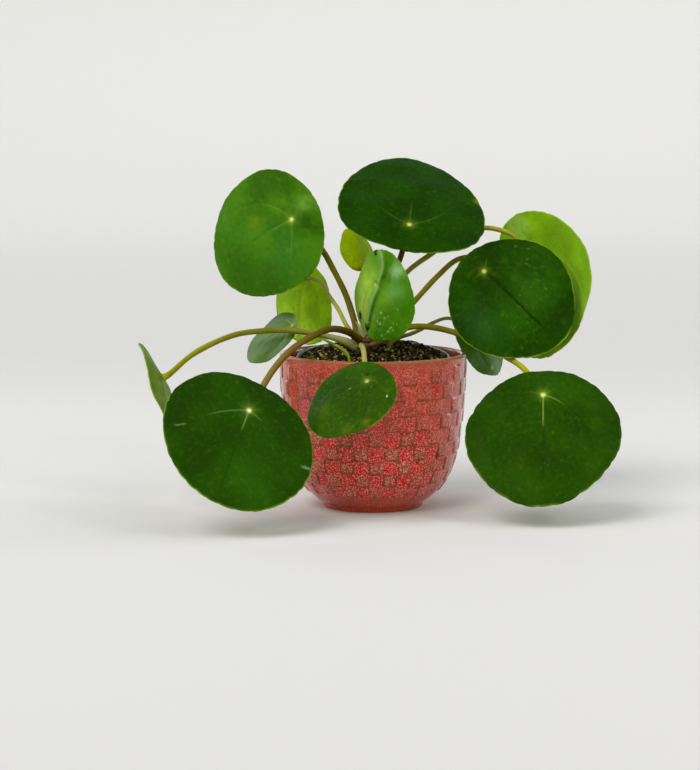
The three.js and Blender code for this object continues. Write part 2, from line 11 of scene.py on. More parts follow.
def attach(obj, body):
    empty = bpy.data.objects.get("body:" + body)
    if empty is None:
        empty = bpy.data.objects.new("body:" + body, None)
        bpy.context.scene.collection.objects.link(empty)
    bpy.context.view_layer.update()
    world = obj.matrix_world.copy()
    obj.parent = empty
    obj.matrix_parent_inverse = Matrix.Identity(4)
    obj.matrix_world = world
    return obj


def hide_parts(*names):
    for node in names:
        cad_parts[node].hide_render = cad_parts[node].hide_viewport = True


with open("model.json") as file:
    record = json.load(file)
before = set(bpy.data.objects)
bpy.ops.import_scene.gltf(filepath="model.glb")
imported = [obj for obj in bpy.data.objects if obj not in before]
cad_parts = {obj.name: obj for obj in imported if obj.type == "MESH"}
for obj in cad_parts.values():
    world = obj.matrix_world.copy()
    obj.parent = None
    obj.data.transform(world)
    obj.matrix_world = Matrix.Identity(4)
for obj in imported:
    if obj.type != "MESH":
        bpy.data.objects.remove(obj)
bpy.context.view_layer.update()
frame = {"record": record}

MM = 0.001
TURN = 2 * math.pi
UP = np.array([0.0, 0.0, 1.0])

# ---- sizes that the pot, the soil and the stem share with the solids ----

POT_HEIGHT = 90.5
POT_RIM_RADIUS = 55.0
POT_WALL = 3.6
POT_LIP_ROUNDING = 1.3
POT_FLOOR_TOP = 4.5
POT_FOOT_RADIUS = 29.5
POT_WALL_WAY = [(30.7, 3.4), (35.6, 7), (43.3, 16), (49.1, 30), (52.5, 52), (54.3, 74), (55, 90.5)]
POT_CELLS_ROUND = 36
POT_CELL_ROWS = 9
POT_RELIEF = 0.55
POT_BAND_BOTTOM = 9.5
POT_BAND_TOP = 86.0
POT_PATTERN_TURN = 1.6
POT_LOWER_ROW = 7.2
POT_UPPER_ROW = 9.1

NURSERY_TILT = 6.5
NURSERY_BASE = (0.0, 4.7, 8.0)
NURSERY_HEIGHT = 81.0
NURSERY_BASE_RADIUS = 28.0
NURSERY_TOP_RADIUS = 43.0
NURSERY_LIP_RADIUS = 45.0
NURSERY_LIP_BOTTOM = 75.0
NURSERY_LIP_BEAD = (0.65, 0.8)
NURSERY_WALL = 1.2

SOIL_EDGE_HEIGHT = NURSERY_HEIGHT - 1.5
SOIL_CLEARANCE = 0.3
SOIL_HEAP = 6.0
SOIL_FULLNESS = 2.2
SOIL_CROWN = np.array([8.0, 16.0])

STEM_FOOT = np.array([-3.0, -12.0, 78.0])
STEM_TOP = np.array([-4.0, -11.5, 107.0])
STEM_RADIUS = 3.0

BLADE_THICKNESS = 0.8
BLADE_RIPPLE = 0.6
BLADE_WAVES = 5

# ---- the leaves ----

# Places on a blade are in millimetres from its hub: u towards the tip and v towards its right side.
VEIN_PALE = "#93b23c"
PLAIN_LEAF = dict(
    # The outline, as shares of its size: broader towards the tip, leaning to a side, with three
    # lobes turned by some degrees, or with the four corners of a rounded square.
    egg=0, skew=0, lobe=0, lobe_turn=0, square=0,
    # The left half's fold in degrees, the way of a ridge (u, v), and the u from where the blade
    # starts to roll back to where it has rolled.
    fold=0, ridge=None, curl=None,
    # Colours of the face, of its painted shade and of the back, and the soft patches on face and back
    # (u, v, size, colour, strength): some are the leaf's own tone, some painted shade, painted shadow,
    # painted sheen and painted highlights.
    upper="#3d7409", shade="#2c5f04", under="#6f9a16", patches_and_painted_light=(), back_patches_and_painted_light=(),
    # Strengths of the pale specks, of dark specks on the back, of the fine grain, of the mottling and
    # of the pale margin, which is a painted highlight along the edge.
    fleck=0.1, back_fleck=None, grainy=0.14, mottle=0.3, margin=0.5,
    # Short marks (two ends, breadth, colour, strength), single pale dots (u, v) and scattered dots
    # (u, v, spread, count, colour, strength).
    strokes=(), specks=(), sprinkles=(),
    # Strength and colour of the veins where they are dark and where they are pale. Of the midrib and
    # its two laterals: how far they are pale, and their strength and bend as shares of the usual.
    dark_veins=0.5, vein_shade="#143300", pale_veins=0.5, vein_pale=VEIN_PALE,
    pale_reach=(14, 12, 12), ribs=(1, 1, 1), bends=(1, 1, 1),
    # Strength and colour of the light spot over the stalk, and the sheen's refraction and colour.
    hub_glow=1, hub_pale="#e2e86a", gloss=1.22, sheen_tint="#9cc840",
    # The foot of a stalk that rises from the soil, a foot that is thick (radius and reach), and
    # whether the stalk meets its blade at a slant.
    soil=None, base=None, slanting=False,
)

# The leaves, as in the solids: the hub, bearing and rise of the upper face, spin of the tip, length
# and width, the hub's seat as a share of the length from the lower edge, and the cup, by which the
# margin bends back. A stalk leaves the stem at an azimuth and a height, with a radius at its foot and
# one at its blade, passes its way, and takes its tints in turn along it.
LEAVES = [
    dict(
        PLAIN_LEAF, name="left_upper",
        hub=(-47.5, -4, 168.5), bearing=-26, rise=9, spin=-62, length=77,
        width=73.5, seat=0.245, egg=-0.05, skew=0.01, cup=3, lobe=0.022, lobe_turn=58,
        upper="#42760a", shade="#316304", fleck=0.2, hub_glow=1.1, pale_reach=(20, 27, 24),
        pale_veins=0.22, dark_veins=0.15, gloss=1.34,
        bends=(1, 1, 0.35), vein_pale="#86b058",
        # Most of these patches are painted light: painted shade in bands near the margin and in a wedge
        # beside the hub, a painted highlight next to the hub and painted bluish sheen in the middle; the
        # yellowish spot is the leaf's own colour.
        patches_and_painted_light=[(16, 14, 17, "#2f6c20", 0.55), (40, -14, 14, "#3a7a1c", 0.4),
                (6, -28, 15, "#265202", 0.9), (-8, -22, 10, "#265202", 0.75),
                (32, 29, 18, "#275402", 0.85), (47, 11, 11, "#275402", 0.75),
                (-9, 6, 7, "#1f4a02", 0.9), (-14, 13, 6, "#1f4a02", 0.7), (-10, -4.5, 4.5, "#6a9a3a", 0.55),
                (23, -9.5, 4.5, "#688c12", 0.5), (8, 26, 10, "#36741c", 0.5)],
        azimuth=172, height=103, radii=(1.9, 1.6),
        way=[(-11, -11, 110), (-16, -9, 125), (-23, -6, 139), (-30, -3, 151)],
        tints=["#7c7030", "#54500a", "#5c5808", "#5f5f04"],
    ),
    dict(
        PLAIN_LEAF, name="top",
        hub=(21, -4, 165.5), bearing=10, rise=48, spin=167, length=91, width=86.5,
        seat=0.25, egg=-0.06, skew=0.04, cup=5, lobe=0.038, lobe_turn=20,
        upper="#183e01", shade="#133501", fleck=0.15, pale_reach=(20, 28, 24),
        pale_veins=0.13, dark_veins=0.4, hub_glow=0.7, mottle=0.05, margin=0.8, gloss=1.1,
        patches_and_painted_light=[(34.7, -39.8, 3, "#8a8c10", 0.5)],
        azimuth=66, height=105, radii=(1.7, 1.6),
        way=[(1, -6, 114), (8, -6, 128), (15, -6, 144), (18, -6, 154)],
        tints=["#5a4a14", "#4e420c", "#4a4010"],
    ),
    dict(
        PLAIN_LEAF, name="right_upper",
        hub=(64, -14, 139), bearing=7, rise=15, spin=46, length=74, width=73.5,
        seat=0.18, egg=-0.06, skew=0.08, cup=2.4, square=0.016,
        upper="#184002", shade="#123201", fleck=0.25, pale_reach=(1, 1, 1),
        dark_veins=1.0, vein_shade="#0c2400", ribs=(1, 0.3, 0.3), hub_glow=0.7, mottle=0.12,
        margin=1.0,
        patches_and_painted_light=[(26, 12, 14, "#2f6210", 0.5), (20, -24, 11, "#2c5826", 0.5), (34, -8, 15, "#2c6208", 0.4)],
        sprinkles=[(36, -6, 9, 60, "#568a2c", 0.4), (12, 18, 11, 14, "#6a9a48", 0.5),
                   (24, 16, 9, 12, "#6a9a48", 0.5)],
        strokes=[(3, 0.3, 14, 0.3, 1.5, "#0e2a02", 0.5), (3, 4, 11, 11.4, 0.6, "#0e2a02", 0.5)],
        azimuth=12, height=102.5, radii=(1.7, 1.5),
        way=[(12, -9, 109), (24, -7, 121), (37, -5, 135), (49, -4, 145), (58, -5, 146)],
        tints=["#665a16", "#726c12", "#7c7a14", "#8c8c14"],
    ),
    dict(
        PLAIN_LEAF, name="right_back",
        hub=(96.5, 36, 146.5), bearing=132, rise=5, spin=-34, length=86.5,
        width=82.5, seat=0.285, egg=0.08, skew=0.04, cup=5, lobe=0.045, lobe_turn=115,
        # The back is painted brighter than its own colour: painted light standing in for light that shines
        # through the thin blade.
        under="#82b808",
        # These patches are painted light: painted shadow over much of the back and a painted sheen by the
        # hub.
        back_patches_and_painted_light=[(34, -14, 32, "#6a9600", 0.75), (-19, 0, 9, "#a6d058", 0.5)],
        azimuth=88, height=99.5, radii=(1.6, 1.4),
        way=[(0, -1, 112), (8, 3, 122), (20, 7, 137), (34, 13, 147), (50, 19, 157),
             (66, 24, 162), (82, 27, 158)],
        # The first two tints are painted lighter to make up for the top leaf's shadow on the stalk: painted
        # light.
        tints=["#8e8634", "#b4aa44", "#a49c30", "#aeb020"],
    ),
    dict(
        PLAIN_LEAF, name="right_front",
        hub=(96.5, -42, 70.5), bearing=-4, rise=42, spin=0, length=88.4, width=86.6,
        seat=0.19, egg=-0.05, skew=-0.06, cup=2, square=0.017,
        upper="#1b4101", shade="#153701", fleck=0.15, pale_reach=(24, 1, 14),
        ribs=(1, 0.8, 0.75), pale_veins=0.55, dark_veins=0.9, mottle=0.05, margin=0.4,
        patches_and_painted_light=[(-8, 6, 16, "#2c5604", 0.4), (20, 31, 6, "#4f7a0a", 0.12), (8, 27, 5, "#3f6a10", 0.15)],
        sprinkles=[(30, 0, 18, 40, "#5c8a24", 0.5)],
        strokes=[(22, 0.4, 43, 1, 0.8, "#0e2802", 0.5)],
        azimuth=0, height=97.5, radii=(1.8, 1.6),
        way=[(10, -11, 102), (22, -7, 106), (35, -5, 105.5), (49, -5, 102), (62, -7, 96.5),
             (75.5, -13, 90), (87, -24, 83)],
        tints=["#867e24", "#8a8418", "#96941c", "#b4c014"],
    ),
    dict(
        PLAIN_LEAF, name="left_front",
        hub=(-69.3, -83, 66.8), bearing=16.5, rise=35, spin=-26.5, length=80.5,
        width=87, seat=0.24, egg=-0.04, skew=0.12, cup=0.4, lobe=0.008, lobe_turn=-40,
        upper="#1a4101", shade="#143501", fleck=0.3, pale_reach=(14, 26, 10),
        ribs=(1, 0.75, 0.6), pale_veins=0.6, bends=(1, 0.55, 0.55),
        vein_pale="#6aa048", hub_pale="#f0f2b8", dark_veins=0.5, mottle=0.08, margin=0.6,
        patches_and_painted_light=[(40, 14, 14, "#2a5a08", 0.5)],
        sprinkles=[(22, 0, 18, 26, "#4c7c20", 0.5)],
        strokes=[(25.8, -34.6, 22.4, -30.4, 0.45, "#7d9c4a", 0.5),
                 (21.2, 38.2, 20.4, 42.2, 0.4, "#a8c89c", 0.5)],
        azimuth=215, height=99.5, radii=(2, 1.8),
        way=[(-14, -20, 104), (-24, -30, 107), (-35, -43, 104), (-47, -53, 97), (-57, -58, 86)],
        tints=["#4a3c10", "#5c4c0c", "#76602a", "#90802c"],
    ),
    dict(
        PLAIN_LEAF, name="front",
        hub=(-4.2, -72, 82), bearing=-31, rise=42, spin=-30, length=53.2, width=50,
        seat=0.24, egg=-0.08, skew=-0.14, cup=2.4, lobe=0.015, lobe_turn=-30,
        upper="#2a4e01", shade="#1f3f01", fleck=0.3, pale_reach=(1, 1, 1),
        dark_veins=0.3, hub_glow=0.8, mottle=0.08, grainy=0.3, margin=0.6,
        patches_and_painted_light=[(18, 20, 2, "#6f780a", 0.5), (27, -8, 3, "#4f680a", 0.5), (28, 14, 3, "#4f680a", 0.5)],
        sprinkles=[(14, 2, 12, 30, "#5c8a2c", 0.5)],
        # The white dot among these marks is a painted glint.
        strokes=[(-3.6, -2.9, -3.4, -2.7, 1.1, "#122404", 0.85),
                 (9.5, 2, 23.3, 9.5, 1.6, "#1f3d02", 0.5), (-0.5, 18.1, -0.4, 18.1, 0.34, "#ffffff", 1),
                 (9.2, -4.4, 9.4, -4.4, 0.3, "#8cb06a", 0.7)],
        azimuth=262, height=95.5, radii=(1.6, 1.4), slanting=True,
        way=[(-7, -30, 97.5), (-6, -46, 97), (-5.5, -55, 94), (-5, -59.5, 87.5)],
        tints=["#4a2c20", "#94864a", "#a89e58", "#a49a50", "#9c944c"],
    ),
    dict(
        PLAIN_LEAF, name="centre",
        hub=(0.6, -36, 133), bearing=-25, rise=3, spin=1, length=52, width=48,
        seat=0.37, egg=0.12, skew=-0.015, cup=2.5, lobe=0.04, lobe_turn=124, fold=36,
        upper="#4a8206", shade="#3a7203", fleck=0.5, pale_reach=(1, 1, 1),
        pale_veins=0.2, dark_veins=0.1, hub_glow=0.7, mottle=0.2, grainy=0.3, sheen_tint="#d0e088",
        gloss=1.2,
        # Most of these patches are painted light: a paler left half and pale spots on the right half are
        # painted sheen and highlights, and the dark patches on the right half are painted shade, deepest in
        # the hollow beside the ridge.
        patches_and_painted_light=[(6, -12, 15, "#7ea83c", 0.6), (-2, -9, 9, "#98c018", 0.8), (14, -14, 7, "#a8c048", 0.75),
                (-8.3, 14, 4, "#8ab878", 0.55), (4, 12.3, 5, "#6fa75a", 0.5),
                (28, 8, 8, "#2f6c06", 0.5), (-3, 7, 4, "#2f6804", 0.6), (13, 19, 6, "#2f6804", 0.6),
                (-7, 12.5, 3, "#98c880", 0.4), (16, 10, 3.5, "#346c06", 0.45)],
        strokes=[(-18.6, -0.3, -17, 0.3, 0.9, "#010101", 1), (17.6, -18.8, 19.2, -18.8, 1.8, "#010101", 1),
                 (24.4, -11.2, 25.6, -10.4, 1.7, "#010101", 1)],
        specks=[(18.2, -0.6), (19.7, -3.1), (21.1, 1.3), (22.4, 2.7), (26.8, 6.7), (29.1, 3),
                (24.5, 9.1), (16, 4)],
        sprinkles=[(23, 5, 4.5, 30, "#a4cc5c", 0.6), (22, 13, 4, 16, "#2c6406", 0.5)],
        ridge=[(-22, 0), (-18.4, 3.6), (-10, 5.6), (-3.1, 3.6), (5.8, 0.4), (13.1, -4), (19.4, -7.8),
               (26, -11)],
        azimuth=300, height=101, radii=(1.5, 1.3),
        way=[(1, -18, 109), (4, -24, 120)],
        tints=["#7c8020", "#7c8a1c"],
    ),
    dict(
        PLAIN_LEAF, name="centre_back",
        hub=(-7.6, 14, 139.7), bearing=213, rise=3, spin=184, length=24,
        width=22.5, seat=0.115, egg=-0.02, skew=-0.02, cup=-3.5, lobe=0.017, lobe_turn=-7,
        # The back is painted brighter than its own colour: painted light standing in for light that shines
        # through the thin blade.
        under="#b2cc08", back_fleck=1,
        azimuth=118, height=102.5, radii=(1.2, 1),
        way=[(-6, -3, 110), (-8, 3, 121), (-8, 8, 131)],
        tints=["#84880c", "#8c9a0c"],
    ),
    dict(
        PLAIN_LEAF, name="left_back",
        hub=(-39.7, 42, 131.6), bearing=214, rise=5, spin=20, length=47.5,
        width=43, seat=0.175, egg=0.07, skew=-0.06, cup=5, lobe=0.01, lobe_turn=150,
        # The back is painted much brighter than its own colour: painted light standing in for light that
        # shines through the thin blade.
        under="#bef01a", back_fleck=0.2,
        azimuth=142, height=98.5, radii=(1.3, 1.1),
        way=[(-15, -6, 106), (-20, 1, 115), (-26, 13, 123), (-31, 25, 130)],
        tints=["#98982c", "#b0ac48", "#ccb080"],
    ),
    dict(
        PLAIN_LEAF, name="left_small",
        hub=(-47.3, -3, 106.8), bearing=-50, rise=44, spin=-51, length=39,
        width=36, seat=0.1, cup=1.2, lobe=0.014, lobe_turn=10,
        upper="#496b20", shade="#355616", under="#7d9a3c", pale_reach=(9, 9, 9),
        pale_veins=0.5, dark_veins=0.1, hub_glow=0.4, mottle=0.1, grainy=0.3, sheen_tint="#a4c468",
        gloss=1.36,
        sprinkles=[(14, 0, 8, 26, "#7c9c58", 0.5)],
        soil=(-14, -30, 74), radii=(0.9, 0.8),
        way=[(-14, -29.5, 90), (-17.5, -20, 94), (-25.5, -7, 97), (-34, -3, 101), (-41, -2, 103)],
        tints=["#557014", "#86a014", "#6f9a1c"],
    ),
    dict(
        PLAIN_LEAF, name="far_left",
        hub=(-126, 26, 72), bearing=-91, rise=-27, spin=1, length=66, width=62.5,
        seat=0.37, egg=0.06, skew=0.04, cup=-4, lobe=0.018, lobe_turn=202,
        under="#5e8208", curl=(34, -19),
        azimuth=183, height=94.5, radii=(2.4, 1.62), base=(2.8, 12),
        way=[(-17, -12.5, 98.3), (-33, -13, 102.5), (-50, -13, 104.5), (-65, -6, 103.5),
             (-82, 4, 100), (-106, 16, 88)],
        tints=["#b0b074", "#82843e", "#64660e", "#707406", "#8c9208", "#a8ac1c"],
    ),
    dict(
        PLAIN_LEAF, name="right_low",
        hub=(61, 35, 104.5), bearing=50, rise=28, spin=42, length=50.5,
        width=47.5, seat=0.28, egg=-0.06, skew=0.02, cup=5, lobe=0.018, lobe_turn=5,
        upper="#3e6e0c", shade="#315a08", fleck=0.3, pale_reach=(1, 1, 1),
        dark_veins=0.2, hub_glow=0.4, sheen_tint="#98c040", gloss=1.28,
        sprinkles=[(20, -6, 10, 30, "#88a860", 0.5)],
        strokes=[(25.8, -12.4, 26.2, -12, 1.1, "#b0a060", 0.8)],
        soil=(9.2, -5, 76), radii=(1.4, 0.9),
        way=[(9.2, -5, 87), (9.6, -4.5, 95.5), (15, -1, 99), (21.5, 5, 100.5), (28, 12, 102.5),
             (35.5, 20, 105.8), (45, 27, 108)],
        tints=["#74742a", "#868632", "#8e8e30"],
    ),
]

# Veins of a blade: direction from the tip in degrees, how far each bends towards the tip on its way
# to the margin, and strength. The first three are the midrib and its two laterals.
VEINS = [(0, 0, 1.0), (-70, 34, 0.8), (71, -32, 0.8), (-104, 12, 0.2), (122, -14, 0.2),
         (155, 0, 0.12), (-160, 0, 0.12)]


# ---- small helpers ----

def linear(code, alpha=False):
    """The light of a screen colour."""
    parts = [int(code[i:i + 2], 16) / 255 for i in (1, 3, 5)]
    light = [p / 12.92 if p <= 0.04045 else ((p + 0.055) / 1.055) ** 2.4 for p in parts]
    return (*light, 1.0) if alpha else np.array(light)


def smooth(low, high, values):
    """0 below low, 1 above high and smooth between; high may be the smaller."""
    share = np.clip((np.asarray(values, float) - low) / (high - low), 0, 1)
    return share * share * (3 - 2 * share)


def hill(away, breadth, power=2):
    """1 where away is nothing, fading out at about breadth to either side."""
    return np.exp(-(away / breadth) ** power)


def turned_by(angle, heading):
    """The turn from a heading to each angle, between minus and plus half a turn."""
    return (angle - heading + math.pi) % TURN - math.pi


def soft_waves(x, y, seed, size, count=9):
    """A smooth wandering field between about -1 and 1, with hills about size across."""
    draw = np.random.default_rng(seed)
    field = np.zeros_like(np.asarray(x, float))
    for _ in range(count):
        heading = draw.uniform(0, TURN)
        pitch = TURN / size * draw.uniform(0.55, 1.3)
        phase = draw.uniform(0, TURN)
        field += np.sin(pitch * (x * math.cos(heading) + y * math.sin(heading)) + phase)
    return field / math.sqrt(count) / 1.2


def round_waves(angle, height, radius, seed, size, count=9):
    """The same kind of field on a round wall, closed where the angle comes round."""
    draw = np.random.default_rng(seed)
    spots = on_rings(radius, angle, height)
    field = np.zeros_like(height)
    for _ in range(count):
        heading = draw.normal(size=3)
        pitch = TURN / size * draw.uniform(0.55, 1.3) / np.linalg.norm(heading)
        field += np.sin(pitch * (spots @ heading) + draw.uniform(0, TURN))
    return field / math.sqrt(count) / 1.2


def ring_grid(values, sides):
    """A value for each ring and an angle for each side, as two grids."""
    return np.meshgrid(values, np.arange(sides) / sides * TURN, indexing="ij")


def on_rings(radius, angle, height):
    """Points round the upright axis."""
    return np.stack([radius * np.cos(angle), radius * np.sin(angle), height], -1)


def ring_faces(rings, sides, first=0, flip=False):
    """Squares between rings of points that go round."""
    ring, side = np.meshgrid(np.arange(rings - 1), np.arange(sides), indexing="ij")
    here = first + ring * sides + side
    along = first + ring * sides + (side + 1) % sides
    faces = np.stack([here, along, along + sides, here + sides], -1).reshape(-1, 4)
    return faces[:, ::-1].tolist() if flip else faces.tolist()


def fan_faces(centre, first, sides, flip=False):
    """Triangles from a centre to a ring."""
    faces = [(centre, first + side, first + (side + 1) % sides) for side in range(sides)]
    return [face[::-1] for face in faces] if flip else faces


def closed_body(rings, ends, flip=False):
    """Points and faces of a body made of rings of points, each end closed by a fan to its centre."""
    sides = rings.shape[1]
    count = len(rings) * sides
    faces = ring_faces(len(rings), sides, 0, flip)
    faces += fan_faces(count, 0, sides, not flip) + fan_faces(count + 1, count - sides, sides, flip)
    return np.concatenate([rings.reshape(-1, 3), ends]), faces


def in_scene(name, data):
    """A new object of the scene, at the origin."""
    thing = bpy.data.objects.new(name, data)
    bpy.context.scene.collection.objects.link(thing)
    return thing


def set_marks(mesh, marks):
    """Values for each point, kept as attributes that the looks and the node trees read."""
    for mark, values in marks.items():
        values = np.asarray(values, float)
        kind, key = ("FLOAT", "value") if values.ndim == 1 else ("FLOAT_VECTOR", "vector")
        mesh.attributes.new(mark, kind, "POINT").data.foreach_set(key, values.ravel())


def make_piece(name, points, faces, look, marks=None):
    """A smooth object with its place in its mesh."""
    mesh = bpy.data.meshes.new(name)
    mesh.from_pydata((np.asarray(points, float) * MM).tolist(), [], faces)
    mesh.polygons.foreach_set("use_smooth", [True] * len(mesh.polygons))
    set_marks(mesh, marks or {})
    mesh.materials.append(look.material)
    mesh.validate()
    return in_scene(name, mesh)


def grow(piece, tree, values):
    """Runs a Geometry Nodes tree on the piece, whose mesh is then the plain result."""
    modifier = piece.modifiers.new(tree.name, "NODES")
    modifier.node_group = tree
    for socket in tree.interface.items_tree:
        if socket.item_type == "SOCKET" and socket.in_out == "INPUT" and socket.name in values:
            modifier[socket.identifier] = values[socket.name]
    evaluated = piece.evaluated_get(bpy.context.evaluated_depsgraph_get())
    plain = bpy.data.meshes.new_from_object(evaluated)
    piece.modifiers.clear()
    old = piece.data
    piece.data = plain
    bpy.data.meshes.remove(old)
    plain.name = piece.name


def settle(piece, node):
    """Rides the piece on the plant and hides the solid of the node it stands for."""
    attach(piece, "root")
    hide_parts(node)


# ---- node trees, and looks written as sums on wires ----

class Wire:
    """A socket whose sums add Math nodes to its tree."""

    def __init__(self, bench, socket):
        self.bench = bench
        self.socket = socket

    def __add__(self, other):
        return self.bench.math("ADD", self, other)

    def __sub__(self, other):
        return self.bench.math("SUBTRACT", self, other)

    def __rsub__(self, other):
        return self.bench.math("SUBTRACT", other, self)

    def __mul__(self, other):
        return self.bench.math("MULTIPLY", self, other)

    __radd__ = __add__
    __rmul__ = __mul__

    def between(self, low, high):
        """0 at low and 1 at high, smooth and held outside."""
        settings = {"interpolation_type": "SMOOTHSTEP", "clamp": True}
        return self.bench.wire("ShaderNodeMapRange", settings, {0: self, 1: low, 2: high, 3: 0.0, 4: 1.0})


class Bench:
    """A node tree in the making."""

    def __init__(self, tree):
        self.tree = tree

    def node(self, kind, settings, inputs):
        """A node with its settings first, then the values or links of its sockets."""
        node = self.tree.nodes.new(kind)
        for key, value in settings.items():
            setattr(node, key, value)
        for key, value in inputs.items():
            value = value.socket if isinstance(value, Wire) else value
            if isinstance(value, bpy.types.NodeSocket):
                self.tree.links.new(value, node.inputs[key])
            else:
                node.inputs[key].default_value = value
        return node

    def wire(self, kind, settings, inputs, output=0):
        """A wire from one output of a new node."""
        return Wire(self, self.node(kind, settings, inputs).outputs[output])

    def math(self, operation, *values):
        """The result of a Math node on numbers or wires."""
        return self.wire("ShaderNodeMath", {"operation": operation}, dict(enumerate(values)))


def geometry_bench(name, result, **inputs):
    """A Geometry Nodes tree with named inputs and one result, and the sockets that give the inputs."""
    tree = bpy.data.node_groups.new(name, "GeometryNodeTree")
    for socket, kind in inputs.items():
        tree.interface.new_socket(socket, in_out="INPUT", socket_type="NodeSocket" + kind)
    tree.interface.new_socket(result, in_out="OUTPUT", socket_type="NodeSocketGeometry")
    bench = Bench(tree)
    return bench, bench.node("NodeGroupInput", {}, {}).outputs


class Look(Bench):
    """A material with one Principled shader; uniform numbers go on its own sockets."""

    def __init__(self, name, **uniform):
        self.material = bpy.data.materials.new(name)
        self.material.use_nodes = True
        super().__init__(self.material.node_tree)
        self.tree.nodes.clear()
        # A keyword such as coat_ior names the socket "Coat IOR".
        values = {key.replace("_", " ").title().replace("Ior", "IOR"): value
                  for key, value in uniform.items()}
        self.shader = self.node("ShaderNodeBsdfPrincipled", {}, values)
        self.node("ShaderNodeOutputMaterial", {}, {"Surface": self.shader.outputs[0]})

    def mark(self, name, output="Fac"):
        """A vertex attribute of the piece as a number, or as a colour by its output Vector."""
        return self.wire("ShaderNodeAttribute", {"attribute_name": name}, {}, output)

    def place(self, stretch=(1, 1, 1)):
        """Object coordinates, stretched where a pattern is longer one way."""
        spot = self.wire("ShaderNodeTexCoord", {}, {}, "Object")
        return self.wire("ShaderNodeMapping", {}, {"Vector": spot, "Scale": stretch})

    def grain(self, place, size, detail=3.0, roughness=0.55):
        """Noise with features about size millimetres across, between 0 and 1."""
        inputs = {"Vector": place, "Scale": 1 / (size * MM), "Detail": detail, "Roughness": roughness}
        return self.wire("ShaderNodeTexNoise", {}, inputs)

    def cells(self, place, size, output):
        """Scattered cells: the Distance from each one's middle, or its random Color."""
        return self.wire("ShaderNodeTexVoronoi", {}, {"Vector": place, "Scale": 1 / (size * MM)}, output)

    def blend(self, share, first, second):
        """A colour between two; each is a screen colour or a wire."""
        colours = [linear(c, True) if isinstance(c, str) else c for c in (first, second)]
        settings = {"data_type": "RGBA", "clamp_factor": True}
        return self.wire("ShaderNodeMix", settings, {0: share, 6: colours[0], 7: colours[1]}, 2)

    def part(self, colour, channel="Red"):
        """One channel of a colour, as a number."""
        return self.wire("ShaderNodeSeparateColor", {}, {"Color": colour}, channel)

    def wear(self, socket, wire):
        """Feeds a socket of the shader."""
        self.tree.links.new(wire.socket, self.shader.inputs[socket])

    def bump(self, height, distance):
        """Raises the surface by height times distance millimetres."""
        self.wear("Normal", self.wire("ShaderNodeBump", {}, {"Height": height, "Distance": distance * MM}))


# ---- leaf blades ----

LARGE_BLADE_LENGTH = 60
SIDES_OF_LARGE_BLADE = 360
SIDES_OF_SMALL_BLADE = 216
# Rings of a blade as shares of the way from hub to margin, closest at the hub and at the margin.
BLADE_RINGS = np.concatenate([np.linspace(0.012, 0.09, 6), np.linspace(0.12, 0.96, 36),
                              [0.975, 0.985, 0.992, 0.997, 1.0]])
MARGIN_START = 0.985
MARGIN_TINT_WAY = (0.982, 0.996)
SCALLOP_PAIRS = 16
SCALLOP_RING = 9
MEAN_SCALLOP = 0.76
MINOR_VEIN_REACH = 9
HUB_DIP = 0.55
HUB_DIP_BREADTH = 2.6
GROOVE_ABOVE = 0.22
RIB_BELOW = 0.28


def blade_axes(leaf):
    """The way the upper face looks, and in its plane the way to the tip and to its side."""
    bearing = math.radians(leaf["bearing"])
    rise = math.radians(leaf["rise"])
    spin = math.radians(leaf["spin"])
    level = np.array([math.sin(bearing), -math.cos(bearing), 0.0])
    facing = level * math.cos(rise) + UP * math.sin(rise)
    downhill = level * math.sin(rise) - UP * math.cos(rise)
    across = np.cross(facing, downhill)
    tip = downhill * math.cos(spin) + across * math.sin(spin)
    return facing, tip, np.cross(facing, tip)


def ripple_phase(index):
    """Where the margin's slow ripple starts on a blade, drawn as for the solids."""
    modulus = 2 ** 31 - 1
    return ((index + 1) * 7919 + 17) * 16807 % modulus / modulus * TURN


def ridge_side(leaf, u, v):
    """How far each spot lies to the right of the leaf's ridge."""
    line, _ = smooth_way([np.array([*spot, 0.0]) for spot in leaf["ridge"]], 120)
    return v - np.interp(u, line[:, 0], line[:, 1])


def scallops(angle, seed):
    """How far the margin's fine scallops stand out from its line, as a share of the radius."""
    # The waves are read on a ring, so that they close where the angle comes round.
    ring = SCALLOP_RING * np.cos(angle), SCALLOP_RING * np.sin(angle)
    teeth = np.sqrt(np.abs(np.sin(SCALLOP_PAIRS * angle + 1.1 * soft_waves(*ring, seed, 8))))
    depth = 0.006 + 0.008 * smooth(-1, 1, soft_waves(*ring, seed + 1, 6))
    wander = 0.004 * soft_waves(*ring, seed + 2, 2.4, 14)
    return depth * (teeth - MEAN_SCALLOP) + wander


def blade_unevenness(leaf, u, v, share, seed):
    """Low hills of the face, its dip over the stalk, and the ridge or rolled end that a leaf has."""
    lift = 0.45 * smooth(0, 0.5, share) * soft_waves(u, v, seed + 50, 26)
    lift = lift - HUB_DIP * hill(np.hypot(u, v), HUB_DIP_BREADTH)
    if leaf["ridge"]:
        off = ridge_side(leaf, u, v)
        crest = 1.2 * hill(off, np.where(off < 0, 2.8, 1.1))
        hollow = 1.15 * hill(off - 3, 2.2) - hill(off - 9.5, 4)
        lift = lift + (crest - hollow) * smooth(1.0, 4.0, np.hypot(u, v)) * smooth(1.0, 0.8, share)
    if leaf["curl"]:
        rolled = -0.5 - 0.08 * v - 0.85 * leaf["cup"] * (v / leaf["width"] * 2) ** 2
        lift = lift + rolled * smooth(*leaf["curl"], u)
    return lift


